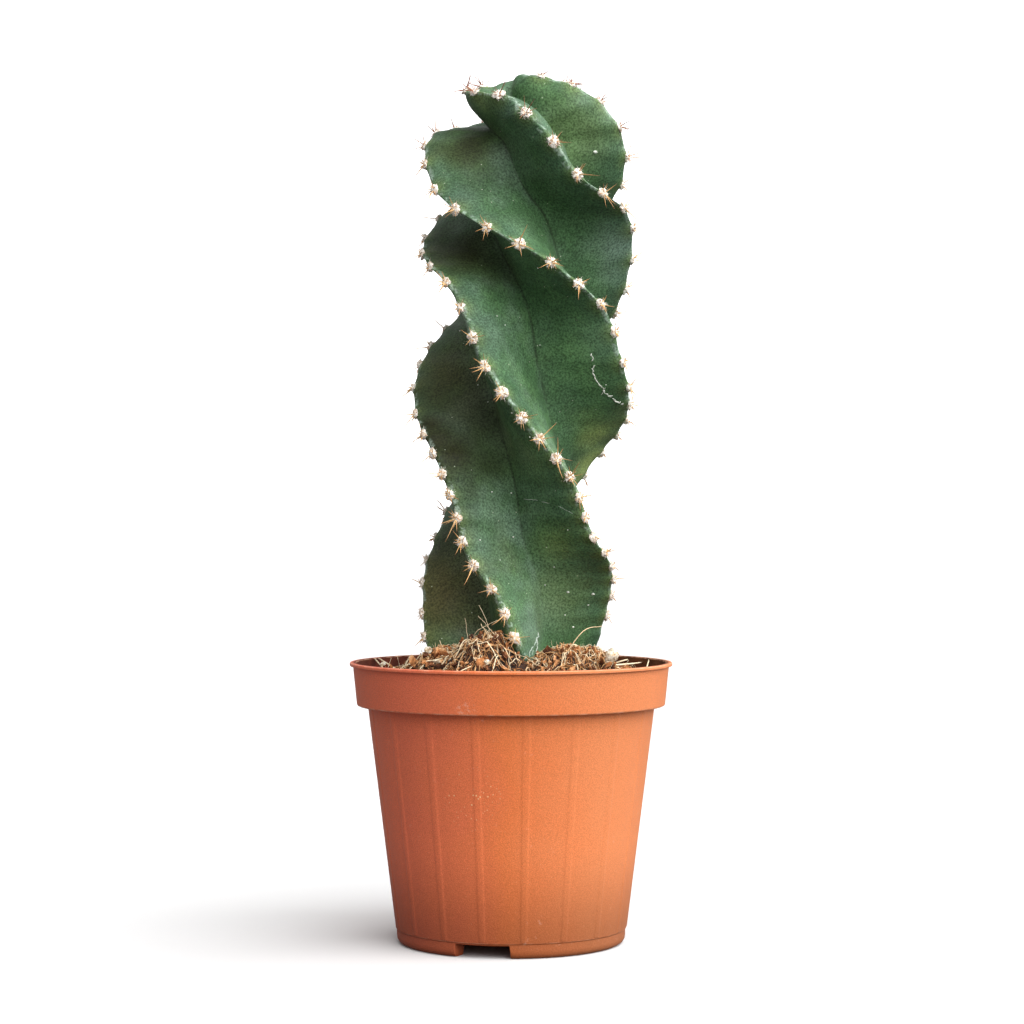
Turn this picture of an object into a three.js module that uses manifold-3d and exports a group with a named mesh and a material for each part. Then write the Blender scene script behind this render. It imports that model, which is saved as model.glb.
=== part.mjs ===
// A potted spiral cereus: a moulded plastic nursery pot with raised ribs and a deep collar,
// its heaped coir and peat mix, and one columnar cactus whose four ribs wind round the stem.
// Units are millimetres and +Z is up. The origin is the middle of the pot's foot, on the
// surface that it stands on, and the front of the plant looks towards -Y.

import * as THREE from 'three';
import { mergeVertices } from 'three/addons/utils/BufferGeometryUtils.js';
import Module from 'manifold-3d';

const wasm = await Module();
wasm.setup();

// Pot: a 12 cm nursery pot, tapered, with a step under its collar
const POT_SIDES = 72;
const POT_HEIGHT = 104;
const LIP_RADIUS = 60;
const LIP_DEPTH = 1.3;
const COLLAR_TOP_RADIUS = 58.8;
const COLLAR_BOTTOM_RADIUS = 57.3;
const COLLAR_UNDERSIDE = 88;
const BODY_TOP_RADIUS = 53.3;
const BODY_BOTTOM_RADIUS = 42.9;
const WALL = 1.2;
const EDGE_ROUND = 0.5;

// Foot of the pot: a ring to stand on, a low step above it, and a shallow recess under the floor
const MOULDING_LINE = 5.6;
const MOULDING_STEP = 0.4;
const FOOT_CORNER = 3;
const FOOT_RING_OUTER = 39.5;
const FOOT_RING_INNER = 36;
const RECESS_DEPTH = 3.4;
const FLOOR_THICKNESS = 1.5;
const FLOOR_STEP_RADIUS = 34;
const FLOOR_STEP_TOP = 6.7;
const DRAIN_HOLES = 6;
const DRAIN_HOLE_RADIUS = 3.5;
const DRAIN_HOLE_SIDES = 8;
const DRAIN_CIRCLE_RADIUS = 22;

// Notches that let water out from under the foot
const NOTCHES = 3;
const FIRST_NOTCH_ANGLE = -14.5;
const NOTCH_SPREAD = 28;
const NOTCH_HEIGHT = 5.2;
const NOTCH_BACK_RADIUS = 35.2;
const CUT_OVERLAP = 1;

// Raised vertical ribs round the pot
const POT_RIBS = 18;
const FIRST_POT_RIB_ANGLE = 6;
const POT_RIB_WIDTH = 2.5;
const POT_RIB_PROUD = 0.35;
const POT_RIB_ROOT = 0.9;

// Clear gap between pieces that touch
const GAP = 0.35;

// The stem's foot stands in a hole of its own section, cut down through the heap. Its walls
// lean with the ribs, so the gap across the section is a little wider.
const SLEEVE_GAP = 0.5;
const SLEEVE_TOP = 145;

// Stem: a column with four blade-like ribs. Up to SHOULDER the growth height along the stem is
// the real height, and past it the crest lines arch over the crown.
const BURIED_HEIGHTS = [74, 79, 86, 94];
const GROUND = 102;
const SHOULDER = 290;
const CROWN_ARC = 52.5;
const CROWN_RISE = 32.5;
const CROWN_END = 0.92;
const RING_STEP = 6;
const FOOT_DOME = 1;
const GROWING_POINT_SHARE = 0.6;
const CROWN_STEP = 0.07;
const CREST_ROUNDNESS = 10;
const FLANK_POWER = 1.35;
const FLANK_STEPS = [0, 0.36, 0.76, 0.95];

// Each entry is a growth height and the value there
const AXIS_OFFSET_X = [[70, 0.5], [105, 1], [133, 2.3], [200, 3.9], [259, 6.2], [290, 5.5]];
const CREST_RADIUS = [[70, 10], [80, 21], [105, 33], [133, 35.8], [200, 40.6], [259, 39.6],
	[290, 38.4]];
const CREST_HALF_THICKNESS = [[300, 2.6], [321, 4.8], [342, 3]];
const VALLEY_RADIUS = [[70, 4], [80, 9], [105, 12.5], [133, 14], [280, 14.6], [300, 15.8],
	[310, 17.5], [321, 21.5], [342, 28]];
const VALLEY_HEIGHT = [[70, 70], [280, 280], [290, 290], [300, 296.5], [312, 300], [322, 304.5],
	[332, 311], [342, 319]];

// Where each rib's crest stands round the stem, in degrees from the front towards +X, listed in
// their order round the stem. Every rib winds back by about one turn and a half up the plant.
const RIB_ANGLES = [
	[[70, -30], [112, -75], [131, -92], [149, -121], [200, -180], [235, -237], [260, -270],
		[270, -290], [275, -313], [281, -331], [293, -345], [303, -358], [314, -380], [321, -436],
		[342, -548]],
	[[70, 40], [112, 2], [129, -12], [145, -31], [164, -40], [181, -54], [200, -83], [221, -117],
		[260, -190], [285, -252], [304, -271], [322, -295], [342, -390]],
	[[70, 140], [112, 112], [134, 87], [150, 49], [172, 28], [192, 2], [210, -18], [242, -46],
		[258, -90], [268, -115], [285, -150], [303, -180], [342, -310]],
	[[70, 215], [133, 180], [150, 165], [169, 147], [183, 128], [200, 88], [214, 65], [233, 46],
		[247, 17], [264, -15], [285, -53], [299, -74], [307, -88], [317, -115], [342, -235]],
];

// The last rib's crest stays lower than the others while it passes behind the crown
const LOW_RIB = 3;
const LOW_RIB_DROP = [[250, 0], [290, 12], [315, 12], [325, 16], [342, 12]];

// Areoles: wool cushions along the crests, each with spines. Each rib has its own spacing, as
// [growth height, distance along the crest] points.
const AREOLE_SPACING = [
	[[110, 7], [120, 9], [130, 12.7], [150, 12.2], [245, 12.2], [262, 15], [274, 13.6], [305, 15],
		[320, 13.5]],
	[[110, 8.4], [140, 10.5], [160, 8.8], [188, 9.7], [204, 14.5], [214, 13.5], [232, 11],
		[250, 12.6]],
	[[120, 10], [141, 8.9], [148, 10.6], [160, 8.2], [178, 8.6], [200, 11], [250, 13], [268, 16],
		[280, 14]],
	[[195, 11.7], [206, 9.8], [218, 13], [245, 12.4], [270, 14.2], [292, 15.6], [312, 12.5]],
];
const FIRST_AREOLE = [2, 3.2, 11.4, 2.5];
const AREOLE_START = 111;
const CUSHION_RADIUS = 2.4;
const CUSHION_FLATNESS = 0.62;
const CUSHION_SINK = 0.25;
const CREST_STEP = 0.5;
const RADIAL_SPINES = 3;
const RADIAL_SPINE_LENGTH = [3.2, 5.6];
const RADIAL_SPINE_RISE = [0.35, 0.8];
const RADIAL_SPINE_SCATTER = 20;
const CENTRAL_SPINE_CHANCE = 0.4;
const CENTRAL_SPINE_LENGTH = [5.5, 9.5];
const CENTRAL_SPINE_LEAN = [-0.35, 0.35];
const SPINE_RADIUS = 0.5;
const SPINE_SIDES = 3;
const SPINE_ROOT = 1.2;
const SPINE_CLEARANCE = 3;
const SPINE_SEED = 21;
const PLANT_TOP = 326;

// Potting mix: a heap that meets the pot's wall a little below the rim
const MIX_SIDES = 40;
const MIX_RINGS = [17, 27, 35, 43, 50];
const MIX_EDGE_HEIGHT = 96;
const MIX_HEAP_RISE = 11;
const MIX_HEAP_RADIUS = 34;
const MIX_ROUGHNESS = 1.7;
// Mounds on the heap: x, y, rise and radius
const MOUNDS = [[-9, -32, 12, 8], [19, -33, 8, 6], [32, -24, 8, 6], [-26, -22, 5, 6],
	[-20, 30, 6, 10], [22, 28, 5, 9]];
const CRUMBS = 20;
const CRUMB_RADIUS = [1.9, 2.9];
const GRAIN_SINK = 0.7;
const GRAIN_STRETCH = [1, 0.85, 0.75];
const FIBRES = 20;
const FIBRE_LENGTH = [12, 26];
const FIBRE_RADIUS = 0.5;
const FIBRE_STEPS = 4;
const FIBRE_RISE = [1, 3.5];
const FIBRE_ROOT = 2.5;
const FIBRE_BEND = 30;
const OPEN_MARGIN = 2;
const MIX_SEED = 7;
// Perlite grains: x, y and radius
const PERLITE = [[36, -29, 3], [5, -41, 2], [-24, -38, 2], [12, 44, 2.2], [-41, 20, 2], [44, 12, 2]];

const radians = THREE.MathUtils.degToRad;

// A repeatable random number between 0 and 1 for each call
function seededRandom(seed) {
	let state = seed;
	return () => {
		state = (state + 0x6d2b79f5) | 0;
		let value = Math.imul(state ^ (state >>> 15), 1 | state);
		value = (value + Math.imul(value ^ (value >>> 7), 61 | value)) ^ value;
		return ((value ^ (value >>> 14)) >>> 0) / 4294967296;
	};
}

function between(range, random) {
	return range[0] + (range[1] - range[0]) * random();
}

// Smooth curve through [position, value] points, level past both ends
function valueAt(points, position) {
	const last = points.length - 1;
	const x = Math.min(Math.max(position, points[0][0]), points[last][0]);
	let i = 0;
	while (i < last - 1 && x > points[i + 1][0]) i += 1;
	const slope = (index) => {
		const before = points[Math.max(index - 1, 0)];
		const after = points[Math.min(index + 1, last)];
		return (after[1] - before[1]) / (after[0] - before[0]);
	};
	const span = points[i + 1][0] - points[i][0];
	const t = (x - points[i][0]) / span;
	const t2 = t * t;
	const t3 = t2 * t;
	return (2 * t3 - 3 * t2 + 1) * points[i][1] + (t3 - 2 * t2 + t) * span * slope(i)
		+ (3 * t2 - 2 * t3) * points[i + 1][1] + (t3 - t2) * span * slope(i + 1);
}

// A point at an angle from the front, measured towards +X
function polar(radius, degrees, z, centreX = 0) {
	const angle = radians(degrees);
	return new THREE.Vector3(centreX + radius * Math.sin(angle), -radius * Math.cos(angle), z);
}

// Angles of a number of things set evenly round a circle
function evenAngles(count, first) {
	return Array.from({ length: count }, (_, i) => first + (i * 360) / count);
}

// Closed geometry to a solid, with shared corners merged and empty triangles dropped
function toSolid(geometry) {
	const bare = geometry.clone();
	for (const name of Object.keys(bare.attributes)) {
		if (name !== 'position') bare.deleteAttribute(name);
	}
	const merged = mergeVertices(bare, 1e-4);
	const corners = merged.index.array;
	const kept = [];
	for (let i = 0; i < corners.length; i += 3) {
		const [a, b, c] = [corners[i], corners[i + 1], corners[i + 2]];
		if (a !== b && b !== c && c !== a) kept.push(a, b, c);
	}
	return new wasm.Manifold(new wasm.Mesh({
		numProp: 3,
		vertProperties: new Float32Array(merged.attributes.position.array),
		triVerts: new Uint32Array(kept),
	}));
}

function toGeometry(solid) {
	const mesh = solid.getMesh();
	const geometry = new THREE.BufferGeometry();
	geometry.setAttribute('position', new THREE.BufferAttribute(mesh.vertProperties, 3));
	geometry.setIndex(new THREE.BufferAttribute(mesh.triVerts, 1));
	geometry.computeVertexNormals();
	return geometry;
}

function joined(solids) {
	return solids.reduce((whole, solid) => whole.add(solid));
}

// Rings of points, from the lowest up, closed by a point at each end
function ringGeometry(rings, bottom, top) {
	const sides = rings[0].length;
	const points = [...rings.flat(), bottom, top];
	const bottomIndex = points.length - 2;
	const topIndex = points.length - 1;
	const faces = [];
	for (let side = 0; side < sides; side += 1) {
		const next = (side + 1) % sides;
		for (let row = 0; row < rings.length - 1; row += 1) {
			const a = row * sides + side;
			const b = row * sides + next;
			faces.push(a, b, b + sides, a, b + sides, a + sides);
		}
		const lastRow = (rings.length - 1) * sides;
		faces.push(bottomIndex, next, side, topIndex, lastRow + side, lastRow + next);
	}
	const geometry = new THREE.BufferGeometry().setFromPoints(points);
	geometry.setIndex(faces);
	return geometry;
}

function lathe(profile, sides) {
	const points = profile.map(([radius, z]) => new THREE.Vector2(radius, z));
	return new THREE.LatheGeometry(points, sides).rotateX(Math.PI / 2);
}

function bodyRadiusAt(z) {
	const share = (z - MOULDING_LINE) / (COLLAR_UNDERSIDE - MOULDING_LINE);
	return THREE.MathUtils.lerp(BODY_BOTTOM_RADIUS, BODY_TOP_RADIUS, share);
}

// The inner wall from the floor step up to the collar, moved inwards by a gap
function innerWall(gap) {
	const plateTop = COLLAR_UNDERSIDE + WALL;
	return [
		[bodyRadiusAt(FLOOR_STEP_TOP) - WALL - gap, FLOOR_STEP_TOP + gap],
		[BODY_TOP_RADIUS - WALL - gap, plateTop + gap / 2],
		[COLLAR_BOTTOM_RADIUS - WALL - gap, plateTop + gap],
	];
}

function potProfile() {
	const lipBottom = POT_HEIGHT - LIP_DEPTH;
	const footTop = BODY_BOTTOM_RADIUS - MOULDING_STEP;
	const corner = FOOT_CORNER * (1 - Math.SQRT1_2);
	return [
		[0, RECESS_DEPTH],
		[FOOT_RING_INNER, RECESS_DEPTH],
		[FOOT_RING_INNER, 0],
		[FOOT_RING_OUTER, 0],
		[footTop - corner, corner],
		[footTop, FOOT_CORNER],
		[footTop, MOULDING_LINE - MOULDING_STEP],
		[BODY_BOTTOM_RADIUS, MOULDING_LINE],
		[BODY_TOP_RADIUS, COLLAR_UNDERSIDE],
		[COLLAR_BOTTOM_RADIUS - EDGE_ROUND, COLLAR_UNDERSIDE],
		[COLLAR_BOTTOM_RADIUS, COLLAR_UNDERSIDE + EDGE_ROUND],
		[COLLAR_TOP_RADIUS, lipBottom - EDGE_ROUND],
		[LIP_RADIUS, lipBottom],
		[LIP_RADIUS, POT_HEIGHT - EDGE_ROUND],
		[LIP_RADIUS - EDGE_ROUND, POT_HEIGHT],
		[COLLAR_TOP_RADIUS - WALL, POT_HEIGHT],
		...innerWall(0).reverse(),
		[FLOOR_STEP_RADIUS, FLOOR_STEP_TOP],
		[FLOOR_STEP_RADIUS, RECESS_DEPTH + FLOOR_THICKNESS],
		[0, RECESS_DEPTH + FLOOR_THICKNESS],
	];
}

// One raised rib: a bar that leans with the wall and has its root in it
function potRib(degrees) {
	const bottom = MOULDING_LINE + POT_RIB_PROUD;
	const top = COLLAR_UNDERSIDE + WALL / 2;
	const lean = Math.atan2(BODY_TOP_RADIUS - BODY_BOTTOM_RADIUS, COLLAR_UNDERSIDE - MOULDING_LINE);
	const depth = POT_RIB_PROUD + POT_RIB_ROOT;
	const bar = new THREE.BoxGeometry(POT_RIB_WIDTH, depth, (top - bottom) / Math.cos(lean));
	const middle = (bottom + top) / 2;
	bar.translate(0, depth / 2 - POT_RIB_PROUD, 0);
	bar.rotateX(lean);
	bar.translate(0, -bodyRadiusAt(middle), middle);
	return bar.rotateZ(radians(degrees));
}

// One notch: a sector of a ring, cut up from under the foot
function notch(degrees) {
	const from = radians(degrees - NOTCH_SPREAD / 2 - 90);
	const to = radians(degrees + NOTCH_SPREAD / 2 - 90);
	const outline = new THREE.Shape();
	outline.absarc(0, 0, LIP_RADIUS, from, to, false);
	outline.absarc(0, 0, NOTCH_BACK_RADIUS, to, from, true);
	const depth = NOTCH_HEIGHT + CUT_OVERLAP;
	const block = new THREE.ExtrudeGeometry(outline, { depth, bevelEnabled: false, curveSegments: 4 });
	return block.translate(0, 0, -CUT_OVERLAP);
}

function drainHole(degrees) {
	const length = FLOOR_THICKNESS + 2 * CUT_OVERLAP;
	const radius = DRAIN_HOLE_RADIUS;
	const hole = new THREE.CylinderGeometry(radius, radius, length, DRAIN_HOLE_SIDES);
	hole.rotateX(Math.PI / 2);
	hole.translate(0, -DRAIN_CIRCLE_RADIUS, RECESS_DEPTH + FLOOR_THICKNESS / 2);
	return hole.rotateZ(radians(degrees));
}

function makePot() {
	const ribs = evenAngles(POT_RIBS, FIRST_POT_RIB_ANGLE).map(potRib);
	const notches = evenAngles(NOTCHES, FIRST_NOTCH_ANGLE).map(notch);
	const holes = evenAngles(DRAIN_HOLES, 0).map(drainHole);
	const body = joined([lathe(potProfile(), POT_SIDES), ...ribs].map(toSolid));
	return body.subtract(joined([...notches, ...holes].map(toSolid)));
}

// Share of the way over the crown, from 0 at the shoulder to 1 at the growing point
function crownShare(height) {
	return Math.max(0, (height - SHOULDER) / CROWN_ARC);
}

// Radius and real height of a rib's crest line and of the valley beside it
function crestAt(rib, height) {
	const reached = rib === LOW_RIB ? height - valueAt(LOW_RIB_DROP, height) : height;
	const angle = crownShare(reached) * Math.PI / 2;
	return {
		radius: valueAt(CREST_RADIUS, reached) * Math.cos(angle),
		z: Math.min(reached, SHOULDER) + CROWN_RISE * Math.sin(angle),
	};
}

function valleyAt(height) {
	const angle = crownShare(height) * Math.PI / 2;
	return {
		radius: valueAt(VALLEY_RADIUS, height) * Math.cos(angle),
		z: valueAt(VALLEY_HEIGHT, height),
	};
}

function ribAngle(rib, height) {
	return valueAt(RIB_ANGLES[rib], height);
}

// The point at a share of the way from valley to crest on one side of a rib. Its blade is widest
// at the valley, where it meets the next rib, and rounded off at the crest.
function flankPoint(rib, side, share, height, extra) {
	const ribs = RIB_ANGLES.length;
	const neighbour = (rib + side + ribs) % ribs;
	const wrap = rib + side < 0 ? -360 : rib + side >= ribs ? 360 : 0;
	const own = ribAngle(rib, height);
	const halfSector = Math.abs(ribAngle(neighbour, height) + wrap - own) / 2;
	const crest = crestAt(rib, height);
	const valley = valleyAt(height);
	const crestRadius = crest.radius + extra;
	const valleyRadius = valley.radius + extra;
	const radius = THREE.MathUtils.lerp(valleyRadius, crestRadius, share);
	const rootHalf = valleyRadius * Math.sin(radians(halfSector));
	const tipHalf = Math.min(valueAt(CREST_HALF_THICKNESS, height) + extra, rootHalf);
	const rounded = Math.sqrt(1 - share ** CREST_ROUNDNESS);
	const half = tipHalf * rounded + (rootHalf - tipHalf) * (1 - share) ** FLANK_POWER;
	const bladeTurn = THREE.MathUtils.radToDeg(Math.asin(Math.min(half / radius, 1)));
	const turn = share === 0 ? halfSector : bladeTurn;
	const z = THREE.MathUtils.lerp(valley.z, crest.z, share);
	return polar(radius, own + side * turn, z, valueAt(AXIS_OFFSET_X, height));
}

function stemRing(height, extra = 0) {
	const ring = [];
	for (let rib = 0; rib < RIB_ANGLES.length; rib += 1) {
		for (const share of FLANK_STEPS) ring.push(flankPoint(rib, -1, share, height, extra));
		ring.push(flankPoint(rib, 1, 1, height, extra));
		for (const share of FLANK_STEPS.slice(1).reverse()) {
			ring.push(flankPoint(rib, 1, share, height, extra));
		}
	}
	return ring;
}

// Growth heights of the rings: wide steps below ground, then even ones, closer over the crown
function stemHeights() {
	const heights = [...BURIED_HEIGHTS];
	for (let height = GROUND; height < SHOULDER; height += RING_STEP) heights.push(height);
	for (let share = 0; share < CROWN_END; share += CROWN_STEP) {
		heights.push(SHOULDER + share * CROWN_ARC);
	}
	return heights;
}

function stemColumn(heights, extra = 0) {
	const rings = heights.map((height) => stemRing(height, extra));
	const first = heights[0];
	const last = heights[heights.length - 1];
	const lastZ = THREE.MathUtils.lerp(valleyAt(last).z, crestAt(0, last).z, GROWING_POINT_SHARE);
	const bottom = new THREE.Vector3(valueAt(AXIS_OFFSET_X, first), 0, first - FOOT_DOME - extra);
	const top = new THREE.Vector3(valueAt(AXIS_OFFSET_X, last), 0, lastZ);
	rings[0].forEach((point) => point.setZ(first - extra));
	return ringGeometry(rings, bottom, top);
}

// The crest point of a rib, with its outward direction and its direction along the crest
function crestFrame(rib, height) {
	const pointAt = (at) => {
		const crest = crestAt(rib, at);
		return polar(crest.radius, ribAngle(rib, at), crest.z, valueAt(AXIS_OFFSET_X, at));
	};
	const point = pointAt(height);
	const along = pointAt(height + 1).sub(pointAt(height - 1)).normalize();
	const tilt = crownShare(height) * Math.PI / 2;
	const out = polar(Math.cos(tilt), ribAngle(rib, height), Math.sin(tilt));
	out.addScaledVector(along, -out.dot(along)).normalize();
	return { point, along, out, side: new THREE.Vector3().crossVectors(out, along) };
}

// Areoles of one rib, set off along the crest at the spacing that belongs to their height
function areoleFrames(rib) {
	const frames = [];
	let travelled = valueAt(AREOLE_SPACING[rib], AREOLE_START) - FIRST_AREOLE[rib];
	let before = crestFrame(rib, AREOLE_START).point;
	const end = SHOULDER + (CROWN_END - CROWN_STEP) * CROWN_ARC;
	for (let height = AREOLE_START; height < end; height += CREST_STEP) {
		const frame = crestFrame(rib, height);
		travelled += frame.point.distanceTo(before);
		before = frame.point;
		const spacing = valueAt(AREOLE_SPACING[rib], height);
		if (travelled >= spacing) {
			frames.push(frame);
			travelled -= spacing;
		}
	}
	return frames;
}

function placed(geometry, frame, direction, distance) {
	const turn = new THREE.Quaternion().setFromUnitVectors(new THREE.Vector3(0, 1, 0), direction);
	const origin = frame.point.clone().addScaledVector(direction, distance);
	return geometry.applyMatrix4(new THREE.Matrix4().compose(origin, turn, new THREE.Vector3(1, 1, 1)));
}

function cushion(frame) {
	const ball = new THREE.OctahedronGeometry(CUSHION_RADIUS, 0).scale(1, CUSHION_FLATNESS, 1);
	return placed(ball, frame, frame.out, -CUSHION_SINK);
}

function spine(frame, direction, length) {
	const whole = length + SPINE_ROOT;
	const needle = new THREE.ConeGeometry(SPINE_RADIUS, whole, SPINE_SIDES).translate(0, whole / 2, 0);
	return placed(needle, frame, direction, -SPINE_ROOT);
}

// Spines of one areole: a spread of radials, and sometimes a longer one standing straight out
function spines(frame, random) {
	const found = [];
	const start = random() * 360;
	for (let i = 0; i < RADIAL_SPINES; i += 1) {
		const scatter = between([-RADIAL_SPINE_SCATTER, RADIAL_SPINE_SCATTER], random);
		const around = radians(start + (i * 360) / RADIAL_SPINES + scatter);
		const direction = frame.along.clone().multiplyScalar(Math.cos(around));
		direction.addScaledVector(frame.side, Math.sin(around));
		direction.addScaledVector(frame.out, between(RADIAL_SPINE_RISE, random)).normalize();
		found.push([direction, between(RADIAL_SPINE_LENGTH, random)]);
	}
	if (random() < CENTRAL_SPINE_CHANCE) {
		const direction = frame.out.clone();
		direction.addScaledVector(frame.along, between(CENTRAL_SPINE_LEAN, random));
		direction.addScaledVector(frame.side, between(CENTRAL_SPINE_LEAN, random)).normalize();
		found.push([direction, between(CENTRAL_SPINE_LENGTH, random)]);
	}
	const clear = found.filter(([direction, length]) => hasRoom(frame.point, direction, length));
	return clear.map(([direction, length]) => spine(frame, direction, length));
}

function makeStem() {
	const random = seededRandom(SPINE_SEED);
	const pieces = [stemColumn(stemHeights())];
	for (let rib = 0; rib < RIB_ANGLES.length; rib += 1) {
		for (const frame of areoleFrames(rib)) {
			pieces.push(cushion(frame), ...spines(frame, random));
		}
	}
	return joined(pieces.map(toSolid));
}

// Height of the heap at a place, with its mounds but without its crumbs
function mixHeight(x, y) {
	const radius = Math.hypot(x, y);
	let height = MIX_EDGE_HEIGHT + MIX_HEAP_RISE * Math.exp(-((radius / MIX_HEAP_RADIUS) ** 4) / 2);
	for (const [moundX, moundY, rise, spread] of MOUNDS) {
		const distance = Math.hypot(x - moundX, y - moundY);
		height += rise * Math.exp(-((distance / spread) ** 2) / 2);
	}
	return height;
}

// Whether a spine stays clear of the mix, its crumbs and its fibres, and ends below the plant's top
function hasRoom(point, direction, length) {
	return [0, 0.5, 1].every((share) => {
		const at = point.clone().addScaledVector(direction, length * share);
		return at.z > mixHeight(at.x, at.y) + SPINE_CLEARANCE && at.z < PLANT_TOP;
	});
}

function mixBody(random) {
	const ring = (radiusAt, heightAt) => Array.from({ length: MIX_SIDES }, (_, i) => {
		const place = polar(radiusAt, (i * 360) / MIX_SIDES, 0);
		return place.setZ(heightAt(place));
	});
	const wall = innerWall(GAP);
	const floorTop = RECESS_DEPTH + FLOOR_THICKNESS + GAP;
	const rings = [
		ring(FLOOR_STEP_RADIUS - GAP, () => floorTop),
		ring(FLOOR_STEP_RADIUS - GAP, () => FLOOR_STEP_TOP + GAP),
		...wall.map(([radius, z]) => ring(radius, () => z)),
	];
	const rough = (place) => mixHeight(place.x, place.y) + (random() - 0.5) * 2 * MIX_ROUGHNESS;
	rings.push(ring(COLLAR_BOTTOM_RADIUS - WALL - GAP, rough));
	for (const radius of [...MIX_RINGS].reverse()) rings.push(ring(radius, rough));
	const top = new THREE.Vector3(0, 0, mixHeight(0, 0));
	return ringGeometry(rings, new THREE.Vector3(0, 0, floorTop), top);
}

// Whether a place lies outside the stem's section at ground level, widened by a margin
function isClearOfStem(x, y, margin) {
	const outline = stemRing(MIX_EDGE_HEIGHT + MIX_HEAP_RISE, margin);
	let inside = false;
	outline.forEach((a, i) => {
		const b = outline[(i + 1) % outline.length];
		const crosses = (a.y > y) !== (b.y > y) && x < ((b.x - a.x) * (y - a.y)) / (b.y - a.y) + a.x;
		if (crosses) inside = !inside;
	});
	return !inside;
}

// A place on the open surface of the mix, clear of the stem and of the wall
function openPlace(random, margin) {
	const reach = COLLAR_BOTTOM_RADIUS - WALL - GAP - margin;
	for (;;) {
		const place = polar(reach * Math.sqrt(random()), random() * 360, 0);
		if (isClearOfStem(place.x, place.y, margin)) return place;
	}
}

function grain(x, y, radius, random) {
	const ball = new THREE.IcosahedronGeometry(radius, 0);
	ball.rotateX(random() * Math.PI).rotateZ(random() * Math.PI).scale(...GRAIN_STRETCH);
	return ball.translate(x, y, mixHeight(x, y) - GRAIN_SINK);
}

// The three places that one coir fibre passes over: its two ends and its middle
function fibreRoute(random) {
	const half = between(FIBRE_LENGTH, random) / 2;
	const reach = COLLAR_BOTTOM_RADIUS - WALL - OPEN_MARGIN;
	for (;;) {
		const start = openPlace(random, OPEN_MARGIN);
		const heading = random() * 360;
		const middle = start.clone().add(polar(half, heading, 0));
		const end = middle.clone().add(polar(half, heading + between([-FIBRE_BEND, FIBRE_BEND], random), 0));
		const isOpen = (at) => Math.hypot(at.x, at.y) < reach && isClearOfStem(at.x, at.y, OPEN_MARGIN);
		if (isOpen(middle) && isOpen(end)) return [start, middle, end];
	}
}

// One coir fibre: a three-sided arch that starts and ends in the mix
function fibre(random) {
	const route = fibreRoute(random);
	const lifts = [-FIBRE_ROOT, between(FIBRE_RISE, random), -FIBRE_ROOT];
	route.forEach((at, i) => at.setZ(mixHeight(at.x, at.y) + lifts[i]));
	const corners = evenAngles(3, 0).map((degrees) => polar(FIBRE_RADIUS, degrees, 0));
	const section = new THREE.Shape(corners.map(({ x, y }) => new THREE.Vector2(x, y)));
	const extrudePath = new THREE.CatmullRomCurve3(route);
	return new THREE.ExtrudeGeometry(section, { steps: FIBRE_STEPS, extrudePath });
}

function makePottingMix() {
	const random = seededRandom(MIX_SEED);
	const pieces = [mixBody(random)];
	for (let i = 0; i < CRUMBS; i += 1) {
		const place = openPlace(random, 2 * OPEN_MARGIN);
		pieces.push(grain(place.x, place.y, between(CRUMB_RADIUS, random), random));
	}
	for (const [x, y, radius] of PERLITE) pieces.push(grain(x, y, radius, random));
	for (let i = 0; i < FIBRES; i += 1) pieces.push(fibre(random));
	const heap = joined(pieces.map(toSolid));
	const buried = stemHeights().filter((height) => height < SLEEVE_TOP);
	return heap.subtract(toSolid(stemColumn(buried, SLEEVE_GAP)));
}

function mesh(name, solid, material) {
	const made = new THREE.Mesh(toGeometry(solid), new THREE.MeshStandardMaterial(material));
	made.name = name;
	return made;
}

const group = new THREE.Group();
group.name = 'potted_spiral_cereus';
group.add(mesh('pot', makePot(), { color: 0xc8673f, roughness: 0.55, metalness: 0 }));
group.add(mesh('potting_mix', makePottingMix(), { color: 0x6e4f36, roughness: 1, metalness: 0 }));
group.add(mesh('cereus_stem', makeStem(), { color: 0x35583f, roughness: 0.6, metalness: 0 }));

export default group;
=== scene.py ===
"""Looks of the potted spiral cereus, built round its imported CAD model.

Lengths are in millimetres, as in the CAD, until new_piece turns them into metres. The front
looks towards -Y and +Z is up. Angles round the plant are degrees from the front towards +X.
"""

import functools
import math

import bmesh
import bpy
import numpy as np
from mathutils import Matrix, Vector
from mathutils.bvhtree import BVHTree


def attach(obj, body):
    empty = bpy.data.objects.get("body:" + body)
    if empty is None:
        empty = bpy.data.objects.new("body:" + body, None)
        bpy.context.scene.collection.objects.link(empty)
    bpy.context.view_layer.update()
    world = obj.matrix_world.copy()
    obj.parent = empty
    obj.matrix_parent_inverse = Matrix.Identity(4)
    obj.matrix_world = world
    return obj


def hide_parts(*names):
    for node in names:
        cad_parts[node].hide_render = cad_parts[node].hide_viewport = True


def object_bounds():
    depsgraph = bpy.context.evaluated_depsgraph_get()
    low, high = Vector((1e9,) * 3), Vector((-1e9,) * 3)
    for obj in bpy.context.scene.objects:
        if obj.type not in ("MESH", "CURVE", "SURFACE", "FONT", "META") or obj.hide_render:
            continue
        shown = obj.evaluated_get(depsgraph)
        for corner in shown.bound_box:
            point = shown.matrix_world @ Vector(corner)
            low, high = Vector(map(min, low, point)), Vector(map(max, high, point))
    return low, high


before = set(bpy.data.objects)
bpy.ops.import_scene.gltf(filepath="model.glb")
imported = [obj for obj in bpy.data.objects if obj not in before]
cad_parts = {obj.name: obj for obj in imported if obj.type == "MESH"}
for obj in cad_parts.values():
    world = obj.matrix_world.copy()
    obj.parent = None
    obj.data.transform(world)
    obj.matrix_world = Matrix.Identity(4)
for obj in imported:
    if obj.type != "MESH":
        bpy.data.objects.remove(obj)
cad_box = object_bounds()

MM = 0.001
BODY = "root"

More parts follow.
